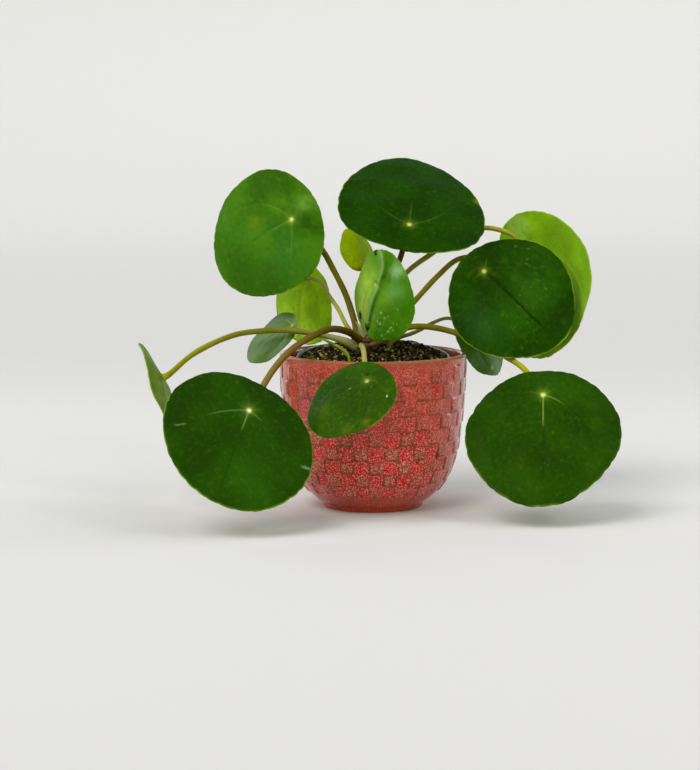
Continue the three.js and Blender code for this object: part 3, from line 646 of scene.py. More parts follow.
def blade_middle(leaf, angle, share, phase, seed=None):
    """Points of the blade's middle surface and their u and v; a seed adds what is fine and uneven."""
    half_length = leaf["length"] / 2
    half_width = leaf["width"] / 2
    lobes = leaf["lobe"] * np.cos(3 * angle - math.radians(leaf["lobe_turn"]))
    swell = 1 + lobes + leaf["square"] * np.cos(4 * angle)
    if seed is not None:
        swell = swell + scallops(angle, seed) * smooth(0.75, 1, share)
    along = half_length * np.cos(angle) * swell
    across = half_width * np.sin(angle) * (1 + leaf["egg"] * np.cos(angle)) * swell
    u = share * (leaf["length"] * (0.5 - leaf["seat"]) + along)
    v = share * (across + leaf["skew"] * along)
    lift = BLADE_RIPPLE * share ** 4 * np.sin(BLADE_WAVES * angle + phase)
    lift = lift - leaf["cup"] * (u * u + v * v) / half_width ** 2
    if seed is not None:
        lift = lift + blade_unevenness(leaf, u, v, share, seed)
    fold = math.radians(leaf["fold"])
    left = np.minimum(v, 0)
    lift = lift + left * math.sin(fold)
    if seed is not None:
        lift = lift - 0.8 * hill(v, 2.4) * math.sin(fold)
    facing, tip, side = blade_axes(leaf)
    folded = v - left * (1 - math.cos(fold))
    points = np.array(leaf["hub"]) + u[..., None] * tip + folded[..., None] * side
    return points + lift[..., None] * facing, u, v


def vein_marks(leaf, u, v):
    """Pale vein lines near the hub, dark ones beyond, and broad grooves, each between 0 and 1."""
    distance = np.hypot(u, v)
    angle = np.arctan2(v, u)
    pale, dark, groove = np.zeros((3, *u.shape))
    minor = len(VEINS) - len(leaf["ribs"])
    reaches = [*leaf["pale_reach"], *[MINOR_VEIN_REACH] * minor]
    ribs = [*leaf["ribs"], *[1] * minor]
    bends = [*leaf["bends"], *[1] * minor]
    for (heading, bend, strength), reach, rib, bend_share in zip(VEINS, reaches, ribs, bends):
        strength = strength * rib
        bent = np.radians(heading + bend * bend_share * distance / (leaf["length"] / 2))
        off = np.abs(turned_by(angle, bent))
        apart = distance * np.sin(np.minimum(off, math.pi / 2))
        fade = 1 - smooth(0.5 + 0.7 * strength, 1.35, 2 * distance / leaf["length"])
        inner = 1 - smooth(reach * 0.55, reach * 1.15, distance)
        pale = np.maximum(pale, strength * inner * hill(apart, 0.42))
        dark = np.maximum(dark, strength * fade * (1 - inner) * hill(apart, 0.75))
        groove = np.maximum(groove, strength * fade * hill(apart, 1.4))
    return pale, dark, groove


def mixed(colours, share, other):
    """Colours blended towards another by a share for each point."""
    return colours + np.clip(share, 0, 1)[..., None] * (linear(other) - colours)


def with_patches_and_painted_light(colours, patches_and_painted_light, u, v, seed, waver, waves, power):
    """Colours with soft patches of tone or painted light, whose outlines waver by a share of their size, in
    waves of a share.
    """
    for at_u, at_v, size, colour, strength in patches_and_painted_light:
        away = np.hypot(u - at_u, v - at_v) + waver * size * soft_waves(u, v, seed, size * waves)
        colours = mixed(colours, strength * hill(away, size, power), colour)
    return colours


def stroked(colours, strokes, u, v, seed):
    """Colours with short marks between two ends."""
    for u0, v0, u1, v1, breadth, colour, strength in strokes:
        reach = np.hypot(u1 - u0, v1 - v0)
        step = np.clip(((u - u0) * (u1 - u0) + (v - v0) * (v1 - v0)) / reach ** 2, 0, 1)
        away = np.hypot(u - u0 - step * (u1 - u0), v - v0 - step * (v1 - v0))
        away = away * (1 + 0.3 * soft_waves(u, v, seed, 2))
        colours = mixed(colours, strength * hill(away, breadth, 4), colour)
    return colours


def dotted(colours, leaf, u, v, seed):
    """Colours with the leaf's single pale dots and its scattered ones."""
    for at_u, at_v in leaf["specks"]:
        colours = mixed(colours, 0.55 * hill(np.hypot(u - at_u, v - at_v), 0.42), "#d4e6a8")
    for at_u, at_v, spread, count, colour, strength in leaf["sprinkles"]:
        draw = np.random.default_rng(seed)
        for _ in range(count):
            away = np.hypot(u - at_u - draw.normal(0, spread), v - at_v - draw.normal(0, spread))
            size = draw.uniform(0.25, 0.55)
            colours = mixed(colours, strength * draw.uniform(0.3, 1) * hill(away, size), colour)
    return colours


def upper_tint(leaf, u, v, share, pale, dark, seed):
    """Colour of the upper face: soft patches and painted shade, veins, a pale hub, painted sheen and
    shade along a ridge, small marks and a thin pale margin painted as a highlight.
    """
    patches = smooth(-0.9, 0.9, soft_waves(u, v, seed + 10, 30))
    colours = linear(leaf["shade"]) + patches[..., None] * (linear(leaf["upper"]) - linear(leaf["shade"]))
    colours = with_patches_and_painted_light(colours, leaf["patches_and_painted_light"], u, v, seed + 11, 0.2, 1.2, 2)
    sallow = smooth(0.4, 1.6, soft_waves(u, v, seed + 12, 6, 18)) * leaf["mottle"]
    colours = mixed(colours, sallow, "#5f8210")
    colours = mixed(colours, dark * leaf["dark_veins"], leaf["vein_shade"])
    colours = mixed(colours, pale * leaf["pale_veins"], leaf["vein_pale"])
    distance = np.hypot(u, v)
    hub = 0.6 + leaf["length"] / 110
    colours = mixed(colours, 0.35 * leaf["hub_glow"] * hill(distance / hub, 2.4), VEIN_PALE)
    colours = mixed(colours, leaf["hub_glow"] * hill(distance, hub, 3), leaf["hub_pale"])
    # Along a ridge: the pale band to its left is painted sheen, the thin pale line on its crest a painted
    # highlight, and the dark line in the hollow to its right painted shade.
    if leaf["ridge"]:
        off = ridge_side(leaf, u, v)
        colours = mixed(colours, 0.5 * smooth(-5.5, -1.5, off) * smooth(0.3, -0.6, off), "#6f9650")
        colours = mixed(colours, 0.35 * hill(off + 0.5, 0.4), "#a9c486")
        colours = mixed(colours, 0.3 * hill(off - 1.1, 0.9), "#215002")
    colours = stroked(colours, leaf["strokes"], u, v, seed + 14)
    colours = dotted(colours, leaf, u, v, seed + 30)
    # The thin pale margin is a painted highlight along the rounded edge, its strength wandering in soft
    # waves.
    painted_margin_highlight = smooth(-1.2, 0.8, soft_waves(u, v, seed + 13, 20)) * leaf["margin"]
    return mixed(colours, smooth(*MARGIN_TINT_WAY, share) * painted_margin_highlight, "#8aa62c")


def under_tint(leaf, u, v, share, groove, seed):
    """Colour of the back: paler and yellower, with raised pale veins."""
    patches = smooth(-1, 1, soft_waves(u, v, seed + 20, 14))
    colours = linear(leaf["under"]) * (1.08 - 0.24 * patches[..., None])
    colours = with_patches_and_painted_light(colours, leaf["back_patches_and_painted_light"], u, v, seed + 21, 0.3, 1, 4)
    colours = mixed(colours, groove ** 2 * 0.3, "#c3cf4c")
    return mixed(colours, smooth(*MARGIN_TINT_WAY, share) * 0.4, "#a9bd3c")


def make_blade(leaf, index):
    """A fleshy blade with sunken veins above, raised ones below and a rounded margin."""
    sides = SIDES_OF_LARGE_BLADE if leaf["length"] > LARGE_BLADE_LENGTH else SIDES_OF_SMALL_BLADE
    rings = len(BLADE_RINGS)
    share, angle = ring_grid(BLADE_RINGS, sides)
    seed = 100 + index
    middle, u, v = blade_middle(leaf, angle, share, ripple_phase(index), seed)
    round_way = np.roll(middle, -1, 1) - np.roll(middle, 1, 1)
    normal = np.cross(np.gradient(middle, axis=0), round_way)
    normal /= np.linalg.norm(normal, axis=-1, keepdims=True)
    pale, dark, groove = vein_marks(leaf, u, v)
    rounding = np.clip((share - MARGIN_START) / (1 - MARGIN_START), 0, 1)
    thick = BLADE_THICKNESS / 2 * np.sqrt(1 - 0.97 * rounding ** 2)
    fine = 0.05 * soft_waves(u, v, seed + 90, 5) * smooth(1, 0.9, share)
    above = middle + normal * (thick - GROOVE_ABOVE * groove + fine)[..., None]
    ribs = RIB_BELOW * groove * smooth(0.02, 0.1, share)
    below = middle - normal * (thick + ribs + fine)[..., None]
    facing = normal[0].mean(0)
    centres = [middle[0].mean(0) + facing * 0.3, middle[0].mean(0) - facing * 0.4]
    points = np.concatenate([above.reshape(-1, 3), below.reshape(-1, 3), centres])
    count = share.size
    faces = ring_faces(rings, sides, 0, True) + ring_faces(rings, sides, count)
    faces += fan_faces(2 * count, 0, sides) + fan_faces(2 * count + 1, count, sides, True)
    rim = (rings - 1) * sides
    for side in range(sides):
        following = (side + 1) % sides
        faces.append((count + rim + side, count + rim + following, rim + following, rim + side))
    face_tint = upper_tint(leaf, u, v, share, pale, dark, seed).reshape(-1, 3)
    back_tint = under_tint(leaf, u, v, share, groove, seed).reshape(-1, 3)
    marks = {
        "tint": np.concatenate([face_tint, back_tint, face_tint[:1], back_tint[:1]]),
        "upper": np.concatenate([np.ones(count), np.zeros(count), [1, 0]]),
    }
    piece = make_piece("leaf_" + leaf["name"], points, faces, blade_look(leaf), marks)
    node = "blade_" + leaf["name"]
    slot = next(part["material_slot"] for part in frame["record"]["subparts"] if part["node"] == node)
    settle(piece, node)


def blade_look(leaf):
    """Green flesh in the leaf's tints, which carry painted light and shade as well as its colours, with
    fine mottling and small specks; a satin sheen.
    """
    look = Look("blade_" + leaf["name"], ior=leaf["gloss"], specular_ior_level=0.6,
                specular_tint=linear(leaf["sheen_tint"], True))
    place = look.place()
    upper = look.mark("upper")
    fine = look.grain(place, 2.4, 4, 0.6)
    colour = look.blend(fine.between(0.5, 0.8) * leaf["grainy"], look.mark("tint", "Vector"), "#5f8a0a")
    colour = look.blend((1 - fine).between(0.5, 0.75) * 0.3, colour, "#123002")
    dots = 1 - look.cells(place, 1.9, "Distance").between(0.08, 0.2)
    chance = look.part(look.cells(place, 1.9, "Color"))
    rare = 0.95 - 0.35 * leaf["fleck"]
    speck = dots * chance.between(rare, rare + 0.3)
    colour = look.blend(speck * (0.4 + 0.3 * leaf["fleck"]) * upper, colour, "#8fae56")
    if leaf["back_fleck"]:
        dark_speck = dots * (1 - chance).between(0.3, 0.7)
        colour = look.blend(dark_speck * (1 - upper) * leaf["back_fleck"], colour, "#3c4a02")
    look.wear("Base Color", colour)
    look.wear("Roughness", 0.34 + fine * 0.14 + (1 - upper) * 0.15)
    look.bump(fine * 0.5 + look.grain(place, 0.7, 2) * 0.3, 0.12)
    return look


# ---- stalks ----

STALK_STEPS = 90
STALK_SIDES = 18
SUNK_IN_STEM = 1.0
PAST_STEM = 2.3
SUNK_IN_BLADE = 0.95
SUNK_IN_FOLDED_BLADE = 1.5
BELOW_BLADE = 4
BELOW_SLANTING_BLADE = 1.8


def smooth_way(way, count):
    """Even steps along a centripetal spline through the points of a way."""
    knots = np.array([2 * way[0] - way[1], *way, 2 * way[-1] - way[-2]])
    gaps = np.sqrt(np.linalg.norm(np.diff(knots, axis=0), axis=1))
    line = [way[0]]
    for i in range(1, len(knots) - 2):
        p0, p1, p2, p3 = knots[i - 1:i + 3]
        d0, d1, d2 = gaps[i - 1:i + 2]
        t1 = ((p1 - p0) / d0 - (p2 - p0) / (d0 + d1) + (p2 - p1) / d1) * d1
        t2 = ((p2 - p1) / d1 - (p3 - p1) / (d1 + d2) + (p3 - p2) / d2) * d1
        for t in np.linspace(0, 1, 33)[1:]:
            line.append(p1 + t1 * t + (3 * (p2 - p1) - 2 * t1 - t2) * t ** 2
                        + (2 * (p1 - p2) + t1 + t2) * t ** 3)
    line = np.array(line)
    lengths = np.concatenate([[0], np.cumsum(np.linalg.norm(np.diff(line, axis=0), axis=1))])
    even = np.linspace(0, lengths[-1], count)
    return np.stack([np.interp(even, lengths, line[:, k]) for k in range(3)], 1), even


def stem_centre(height):
    """The leaning stem's middle line at a height."""
    return STEM_FOOT + (STEM_TOP - STEM_FOOT) * (height - STEM_FOOT[2]) / (STEM_TOP[2] - STEM_FOOT[2])


def hub_facing(leaf):
    """The way the blade faces at its hub."""
    angle = np.array([0, math.pi, TURN / 4, -TURN / 4])
    near, _, _ = blade_middle(leaf, angle, np.full(4, 0.01), 0)
    facing = np.cross(near[0] - near[1], near[2] - near[3])
    return facing / np.linalg.norm(facing)


def stalk_way(leaf):
    """The points a stalk passes, from inside the stem or the soil to inside its blade."""
    if leaf["soil"]:
        start = [np.array(leaf["soil"], float)]
    else:
        azimuth = math.radians(leaf["azimuth"])
        outward = np.array([math.cos(azimuth), math.sin(azimuth), 0])
        centre = stem_centre(leaf["height"])
        start = [centre + outward * (STEM_RADIUS + reach) for reach in (-SUNK_IN_STEM, PAST_STEM)]
    sink = SUNK_IN_FOLDED_BLADE if leaf["fold"] else SUNK_IN_BLADE
    depths = [BELOW_SLANTING_BLADE] if leaf["slanting"] else [BELOW_BLADE, sink]
    end = [np.array(leaf["hub"], float) - hub_facing(leaf) * depth for depth in depths]
    return start + [np.array(point, float) for point in leaf["way"]] + end


def make_stalk_tree():
    """Geometry Nodes that sweep a round section along a way, as thick as its girth mark says."""
    bench, given = geometry_bench("stalk_sweep", "Stalk", Way="Geometry", Sides="Int", Skin="Material")
    way = bench.wire("GeometryNodeMeshToCurve", {}, {"Mesh": given["Way"]})
    section = bench.wire("GeometryNodeCurvePrimitiveCircle", {},
                         {"Resolution": given["Sides"], "Radius": 1.0})
    girth = bench.wire("GeometryNodeInputNamedAttribute", {"data_type": "FLOAT"}, {"Name": "girth"})
    sweep = bench.wire("GeometryNodeCurveToMesh", {},
                       {"Curve": way, "Profile Curve": section, "Scale": girth, "Fill Caps": True})
    shade = bench.wire("GeometryNodeSetShadeSmooth", {}, {"Geometry": sweep})
    realize = bench.wire("GeometryNodeRealizeInstances", {}, {"Geometry": shade})
    paint = bench.wire("GeometryNodeSetMaterial", {}, {"Geometry": realize, "Material": given["Skin"]})
    bench.node("NodeGroupOutput", {}, {"Stalk": paint})
    return bench.tree


def stalk_girth(leaf, along):
    """Radius along the stalk: it swells where it leaves the stem and where it meets the blade."""
    share = along / along[-1]
    first, last = leaf["radii"]
    radius = first + (last - first) * share
    if leaf["base"]:
        thick, reach = leaf["base"]
        thin = last * 1.02
        radius = thin + (thick - thin) * smooth(reach * 1.8, reach * 0.4, along)
    elif not leaf["soil"]:
        radius = radius * (1 + 0.3 * smooth(9, 1, along))
    to_end = along[-1] - along
    flare = 0 if leaf["slanting"] else 0.9
    radius = radius * (1 + 0.18 * smooth(8, 2.5, to_end)) + flare * smooth(2.2, 0, to_end) ** 2
    wobble = soft_waves(along, np.zeros_like(along), int(100 * first) + len(leaf["name"]), 14, 5)
    radius = radius * (1 + 0.035 * wobble)
    return radius * np.where(along < 0.6, 0.6 + along / 1.5, 1)


def make_stalk(leaf, tree, look):
    """A stalk from its line of points, each with a girth and a tint."""
    points, along = smooth_way(stalk_way(leaf), STALK_STEPS)
    tints = np.array([linear(code) for code in leaf["tints"]])
    where = np.linspace(0, along[-1], len(tints))
    tint = np.stack([np.interp(along, where, tints[:, k]) for k in range(3)], 1)
    mesh = bpy.data.meshes.new("stalk")
    mesh.from_pydata((points * MM).tolist(), [(step, step + 1) for step in range(STALK_STEPS - 1)], [])
    set_marks(mesh, {"girth": stalk_girth(leaf, along) * MM, "tint": tint})
    piece = in_scene("petiole_" + leaf["name"], mesh)
    grow(piece, tree, {"Sides": STALK_SIDES, "Skin": look.material})
    settle(piece, "stalk_" + leaf["name"])


def stalk_look():
    """Smooth fleshy skin in the stalk's tints, with faint streaks and a darker blush."""
    look = Look("stalk_skin", specular_ior_level=0.35, specular_tint=linear("#e0b850", True))
    place = look.place()
    streak = look.grain(place, 1.6, 3)
    blush = look.grain(place, 8, 2).between(0.5, 0.75)
    colour = look.blend((streak - 0.4) * 0.5, look.mark("tint", "Vector"), "#4a4410")
    look.wear("Base Color", look.blend(blush * 0.25, colour, "#6a3c1c"))
    look.wear("Roughness", 0.38 + streak * 0.15)
    look.bump(streak, 0.12)
    return look


# ---- stem with its scars, sheaths and buds ----

STEM_SIDES = 56
STEM_RINGS = 74
STEM_SCARS = (82.5, 86, 89, 91.5, 94.2, 97)

# Buds and papery sheaths on the stem: foot, way it points, length, breadth, thickness and tints.
BUDS = [
    dict(foot=(-4.6, -15.2, 96.6), way=(-0.1, -0.45, 1), length=5.4, breadth=3.1, thick=2.3,
         tints=("#3c1810", "#6a3420")),
    dict(foot=(-6.3, -14.6, 97.4), way=(-0.5, -0.35, 1), length=4.6, breadth=2.2, thick=1.7,
         tints=("#4c2014", "#9a5a24")),
    dict(foot=(-3.4, -15.7, 95.7), way=(1, -0.3, 0.42), length=6.0, breadth=4.0, thick=3.1,
         tints=("#4a3810", "#8a7a34")),
    dict(foot=(-6.6, -17.1, 98.9), way=(1, -0.05, 0.5), length=6.8, breadth=1.8, thick=0.9,
         tints=("#5c3008", "#b07820")),
    dict(foot=(-5.6, -17.3, 98.6), way=(1, -0.02, 0.16), length=5.4, breadth=2.2, thick=1.2,
         tints=("#3c1a08", "#74420f")),
    dict(foot=(-7.6, -13.8, 100.6), way=(-0.26, -0.2, 1), length=10.4, breadth=5.2, thick=0.8,
         tints=("#8c9450", "#ccd09a")),
    dict(foot=(-5.9, -15.1, 99.4), way=(-0.2, -0.24, 1), length=7.4, breadth=4.2, thick=0.8,
         tints=("#8a8a3c", "#b8bc80")),
    dict(foot=(-8.2, -14.4, 97.0), way=(-0.2, -0.3, 1), length=5.4, breadth=2.4, thick=0.9,
         tints=("#8c7a5a", "#b8b080")),
    # This small pale scale is a painted highlight: a pale piece put where the buds show a whitish glint.
    dict(foot=(-6.0, -16.4, 98.3), way=(1, -0.05, -0.4), length=3.2, breadth=0.9, thick=0.5,
         tints=("#8c7a64", "#b8a890")),
    dict(foot=(-6.6, -14.0, 93.6), way=(-0.9, -0.5, 0.35), length=4.4, breadth=3.0, thick=1.0,
         tints=("#4c2c20", "#6c4a34")),
    dict(foot=(-1.2, -12.6, 92.6), way=(0.9, -0.3, 0.5), length=4.2, breadth=2.8, thick=1.0,
         tints=("#4c3218", "#7c5c34")),
    dict(foot=(-4.4, -8.6, 101.5), way=(0.1, 0.5, 1), length=6.0, breadth=3.4, thick=0.9,
         tints=("#7a5c34", "#b49c68")),
]


def stem_body():
    """The woody stem, swollen under each stalk and ringed by old leaf scars."""
    heights = np.linspace(STEM_FOOT[2], STEM_TOP[2] - 1.5, STEM_RINGS)
    height, angle = ring_grid(heights, STEM_SIDES)
    radius = STEM_RADIUS - 0.15 - 1.3 * smooth(102, 106, height)
    for leaf in LEAVES:
        if not leaf["soil"]:
            off = turned_by(angle, math.radians(leaf["azimuth"]))
            radius = radius + 0.7 * hill(off, 0.6) * hill(height - leaf["height"] + 0.6, 1.7)
    for scar in STEM_SCARS:
        above = height + 0.5 * np.sin(angle + scar) - scar
        radius = radius + 0.28 * hill(above, 0.35) - 0.2 * hill(above - 0.8, 0.4)
    radius = radius + 0.16 * round_waves(angle, height, STEM_RADIUS, 7, 3.0, 12)
    rings = stem_centre(height[..., None]) + on_rings(radius, angle, np.zeros_like(height))
    ends = [stem_centre(heights[0] - 0.5), stem_centre(heights[-1] + 0.8)]
    share = smooth(84, 100, height).reshape(-1, 1)
    bark = linear("#3c2218") * (1 - share) + linear("#5a2c24") * share
    return *closed_body(rings, ends), np.concatenate([bark, bark[:1], bark[-1:]])


def bud_body(bud, seed):
    """A pointed ovate scale or bud, curved over its length."""
    share, angle = ring_grid(np.linspace(0.02, 0.985, 16), 20)
    length, breadth = bud["length"], bud["breadth"]
    foot = np.array(bud["foot"])
    way = np.array(bud["way"], float)
    way /= np.linalg.norm(way)
    away = foot - stem_centre(foot[2])
    away -= way * away.dot(way)
    away /= np.linalg.norm(away)
    profile = np.sin(math.pi * share ** 0.75) ** 0.75
    side = breadth / 2 * profile * np.cos(angle)
    hollow = -0.35 * (side / breadth * 2) ** 2 * min(breadth, 3)
    out = bud["thick"] / 2 * profile * np.sin(angle) + hollow
    out = out + 0.12 * soft_waves(18 * share, side, seed, 2.0)
    bend = 0.12 * length * ((2 * share - 1) ** 2 - 1)
    rings = (foot + way * (share * length)[..., None] + np.cross(way, away) * side[..., None]
             + away * (out + 0.4 + bend)[..., None])
    ends = [rings[0].mean(0), rings[-1].mean(0) + way * 0.3]
    low, high = (linear(code) for code in bud["tints"])
    rise = smooth(0, 0.9, share).reshape(-1, 1)
    return *closed_body(rings, ends, True), np.concatenate([low * (1 - rise) + high * rise, [low, high]])


def make_stem():
    """The stem and its buds as one piece."""
    points, faces, tints = [], [], []
    first = 0
    bodies = [stem_body()] + [bud_body(bud, 300 + i) for i, bud in enumerate(BUDS)]
    for body_points, body_faces, body_tints in bodies:
        points.append(body_points)
        tints.append(body_tints)
        faces += [tuple(corner + first for corner in face) for face in body_faces]
        first += len(body_points)
    look = Look("stem_bark", roughness=0.75)
    grain = look.grain(look.place((1, 1, 0.45)), 1.4, 4, 0.65)
    colour = look.blend(grain.between(0.42, 0.7) * 0.45, look.mark("tint", "Vector"), "#8a6a44")
    look.wear("Base Color", look.blend((1 - grain).between(0.55, 0.75) * 0.7, colour, "#1c0f08"))
    look.bump(grain, 0.5)
    marks = {"tint": np.concatenate(tints)}
    settle(make_piece("stem_and_buds", np.concatenate(points), faces, look, marks), "stem")


# ---- nursery pot and soil, both leaning ----

NURSERY_SIDES = 192
SOIL_SIDES = 120
SOIL_RINGS = 30


def leaning(points):
    """Points made upright at the origin, put where the nursery pot stands."""
    turn = np.array(Matrix.Rotation(math.radians(NURSERY_TILT), 3, "X"))
    return np.asarray(points, float) @ turn.T + np.array(NURSERY_BASE)


def nursery_inner_radius(height):
    """The nursery pot's inside, which widens at the lip."""
    heights = [NURSERY_WALL, NURSERY_LIP_BOTTOM - 1, NURSERY_HEIGHT]
    outer = np.array([NURSERY_BASE_RADIUS, NURSERY_TOP_RADIUS, NURSERY_LIP_RADIUS])
    return np.interp(height, heights, outer - NURSERY_WALL)


def nursery_outline():
    """Radius and height from the middle of the bottom up the outside, over the lip and down inside."""
    base, top, lip = NURSERY_BASE_RADIUS, NURSERY_TOP_RADIUS, NURSERY_LIP_RADIUS
    low = NURSERY_LIP_BOTTOM
    outline = [(0.01, 0), (20, 0), (base - 1.2, 0.1), (base - 0.2, 0.7), (base, 1.6)]
    for height in np.linspace(6, low - 1.4, 12):
        outline.append((base + (top - base) * (height - 1) / (low - 1), height))
    outline += [(top + 0.3, low - 0.4), (lip - 0.8, low), (lip - 0.3, low + 0.3), (lip - 0.1, low + 1),
                (lip - 0.1, NURSERY_HEIGHT - 1.4)]
    half, rise = NURSERY_LIP_BEAD
    for turn in np.linspace(0, math.pi, 9):
        outline.append((lip - half + half * math.cos(turn), NURSERY_HEIGHT - rise + rise * math.sin(turn)))
    outline += [(nursery_inner_radius(height) + 0.2, height) for height in np.linspace(79, 76, 3)]
    outline += [(nursery_inner_radius(height), height) for height in np.linspace(74, 4, 12)]
    return np.array(outline + [(base - 2.6, 1.5), (20, NURSERY_WALL), (0.01, NURSERY_WALL)])


def make_nursery_pot():
    """A thin moulded pot with a rolled lip, a little out of round."""
    outline = nursery_outline()
    height, angle = ring_grid(outline[:, 1], NURSERY_SIDES)
    radius = outline[:, :1] * (1 + 0.0016 * np.cos(2 * angle + 0.8))
    points = on_rings(radius, angle, height).reshape(-1, 3)
    faces = ring_faces(len(outline), NURSERY_SIDES)
    faces += [tuple(range(NURSERY_SIDES))[::-1], tuple(range(len(points) - NURSERY_SIDES, len(points)))]
    look = Look("nursery_plastic", roughness=0.5)
    scuff = look.grain(look.place((1, 1, 5)), 9, 4)
    dust = look.grain(look.place(), 2.5, 4).between(0.5, 0.75)
    colour = look.blend(scuff * 0.6, "#7c877f", "#aab2a8")
    look.wear("Base Color", look.blend(dust * 0.4, colour, "#5b4a36"))
    look.wear("Roughness", 0.35 + dust * 0.35)
    look.bump(scuff, 0.15)
    settle(make_piece("nursery_liner", leaning(points), faces, look), "nursery_pot")


def soil_radius(height):
    """The soil's side, a little clear of the nursery pot."""
    return nursery_inner_radius(height) - SOIL_CLEARANCE


def heap_height(x, y):
    """Height of the soil over a spot of the nursery pot's plane."""
    # The heap's rings shrink towards the crown, so each spot lies on the ring of one share.
    square = soil_radius(SOIL_EDGE_HEIGHT) ** 2 - SOIL_CROWN.dot(SOIL_CROWN)
    dot = (x - SOIL_CROWN[0]) * SOIL_CROWN[0] + (y - SOIL_CROWN[1]) * SOIL_CROWN[1]
    gap = (x - SOIL_CROWN[0]) ** 2 + (y - SOIL_CROWN[1]) ** 2
    share = (dot + np.sqrt(dot ** 2 + square * gap)) / square
    return SOIL_EDGE_HEIGHT + SOIL_HEAP * (1 - np.clip(share, 0, 1) ** SOIL_FULLNESS)


def make_crumb_tree():
    """Geometry Nodes that strew the marked top of the heap with crumbs and chips."""
    bench, given = geometry_bench("crumb_strewing", "Soil", Heap="Geometry", Density="Float",
                                  Smallest="Float", Largest="Float", Seed="Int", Earth="Material")
    wire = bench.wire
    number = {"data_type": "FLOAT"}
    vector = {"data_type": "FLOAT_VECTOR"}
    bare = wire("GeometryNodeInputNamedAttribute", number, {"Name": "bare"})
    top = wire("FunctionNodeCompare", {**number, "operation": "GREATER_THAN"}, {0: bare, 1: 0.5})
    spots = wire("GeometryNodeDistributePointsOnFaces", {},
                 {"Mesh": given["Heap"], "Selection": top, "Density": given["Density"],
                  "Seed": given["Seed"]}, "Points")
    ball = wire("GeometryNodeMeshIcoSphere", {}, {"Radius": 1.0, "Subdivisions": 1})
    lumps = wire("ShaderNodeTexNoise", {}, {"Scale": 1.3, "Detail": 0.0}, "Color")
    knock = wire("ShaderNodeVectorMath", {"operation": "SUBTRACT"}, {0: lumps, 1: (0.5, 0.5, 0.5)})
    crumb = wire("GeometryNodeSetPosition", {}, {"Geometry": ball, "Offset": knock})
    spin = wire("FunctionNodeRandomValue", vector, {0: (0, 0, 0), 1: (TURN, TURN, TURN), 8: 3})
    shape = wire("FunctionNodeRandomValue", vector, {0: (0.55, 0.55, 0.4), 1: (1.3, 1.0, 0.9), 8: 5})
    size = wire("FunctionNodeRandomValue", number, {2: 0.0, 3: 1.0, 8: 9}, 1)
    scale = wire("ShaderNodeMapRange", {}, {0: bench.math("POWER", size, 2.2), 3: given["Smallest"],
                                            4: given["Largest"]})
    form = wire("ShaderNodeVectorMath", {"operation": "SCALE"}, {0: shape, "Scale": scale})
    strewn = wire("GeometryNodeInstanceOnPoints", {},
                  {"Points": spots, "Instance": crumb, "Scale": form,
                   "Rotation": wire("FunctionNodeEulerToRotation", {}, {0: spin})})
    kind = wire("FunctionNodeRandomValue", number, {2: 0.0, 3: 1.0, 8: 21}, 1)
    named = wire("GeometryNodeStoreNamedAttribute", {**number, "domain": "INSTANCE"},
                 {"Geometry": strewn, "Name": "crumb_kind", 3: kind})
    realize = wire("GeometryNodeRealizeInstances", {}, {"Geometry": named})
    flat = wire("GeometryNodeSetShadeSmooth", {}, {"Geometry": realize, "Shade Smooth": False})
    join = bench.node("GeometryNodeJoinGeometry", {}, {0: given["Heap"]})
    bench.tree.links.new(flat.socket, join.inputs[0])
    paint = wire("GeometryNodeSetMaterial", {}, {"Geometry": join.outputs[0], "Material": given["Earth"]})
    bench.node("NodeGroupOutput", {}, {"Soil": paint})
    return bench.tree


def soil_look():
    """Damp black peat with brown fibre, olive and tan bark chips and a few pale grains."""
    look = Look("potting_soil", roughness=0.9, specular_ior_level=0.15)
    kind = look.mark("crumb_kind")
    grain = look.grain(look.place(), 0.8, 4, 0.7)
    colour = look.blend(kind.between(0.1, 0.6), "#080702", "#221e0a")
    for low, high, tint in ((0.58, 0.7, "#64541e"), (0.85, 0.92, "#b4a45c"), (0.982, 0.992, "#d8cfa0")):
        colour = look.blend(kind.between(low, high), colour, tint)
    look.wear("Base Color", look.blend(grain.between(0.4, 0.8) * 0.5, colour, "#181405"))
    look.wear("Roughness", 0.6 + grain * 0.35)
    look.bump(grain, 0.4)
    return look


def make_soil():
    """The soil, heaped towards its crown, with loose crumbs and chips on top."""
    share, angle = ring_grid(np.linspace(1, 0.03, SOIL_RINGS), SOIL_SIDES)
    x = soil_radius(SOIL_EDGE_HEIGHT) * share * np.cos(angle)
    y = soil_radius(SOIL_EDGE_HEIGHT) * share * np.sin(angle)
    lumpy = 0.7 * soft_waves(x, y, 11, 9, 14) + 0.35 * soft_waves(x, y, 12, 3.5, 14)
    heap = np.stack([x, y, heap_height(x, y) + lumpy * smooth(1, 0.9, share)], -1)
    bottom = NURSERY_WALL + SOIL_CLEARANCE
    heights, around = ring_grid([bottom, NURSERY_HEIGHT / 2, NURSERY_LIP_BOTTOM - 1, SOIL_EDGE_HEIGHT - 2],
                                SOIL_SIDES)
    wall = on_rings(soil_radius(heights), around, heights)
    ends = [[0, 0, bottom], [0, 0, heap_height(0.0, 0.0)]]
    points, faces = closed_body(np.concatenate([wall, heap]), ends)
    bare = np.concatenate([np.zeros(heights.size), (share.ravel() < 0.99) * 1.0, [0, 1]])
    look = soil_look()
    marks = {"bare": bare, "crumb_kind": np.full(len(points), 0.2)}
    piece = make_piece("potting_soil", leaning(points), faces, look, marks)
    grow(piece, make_crumb_tree(), {"Density": 0.9e6, "Smallest": 0.45 * MM, "Largest": 1.7 * MM, "Seed": 4,
                                    "Earth": look.material})
    settle(piece, "soil")


# ---- cover pot ----

POT_SIDES_TO_A_CELL = 14
POT_RINGS_TO_A_ROW = 12
POT_MEAN_RADIUS = 45
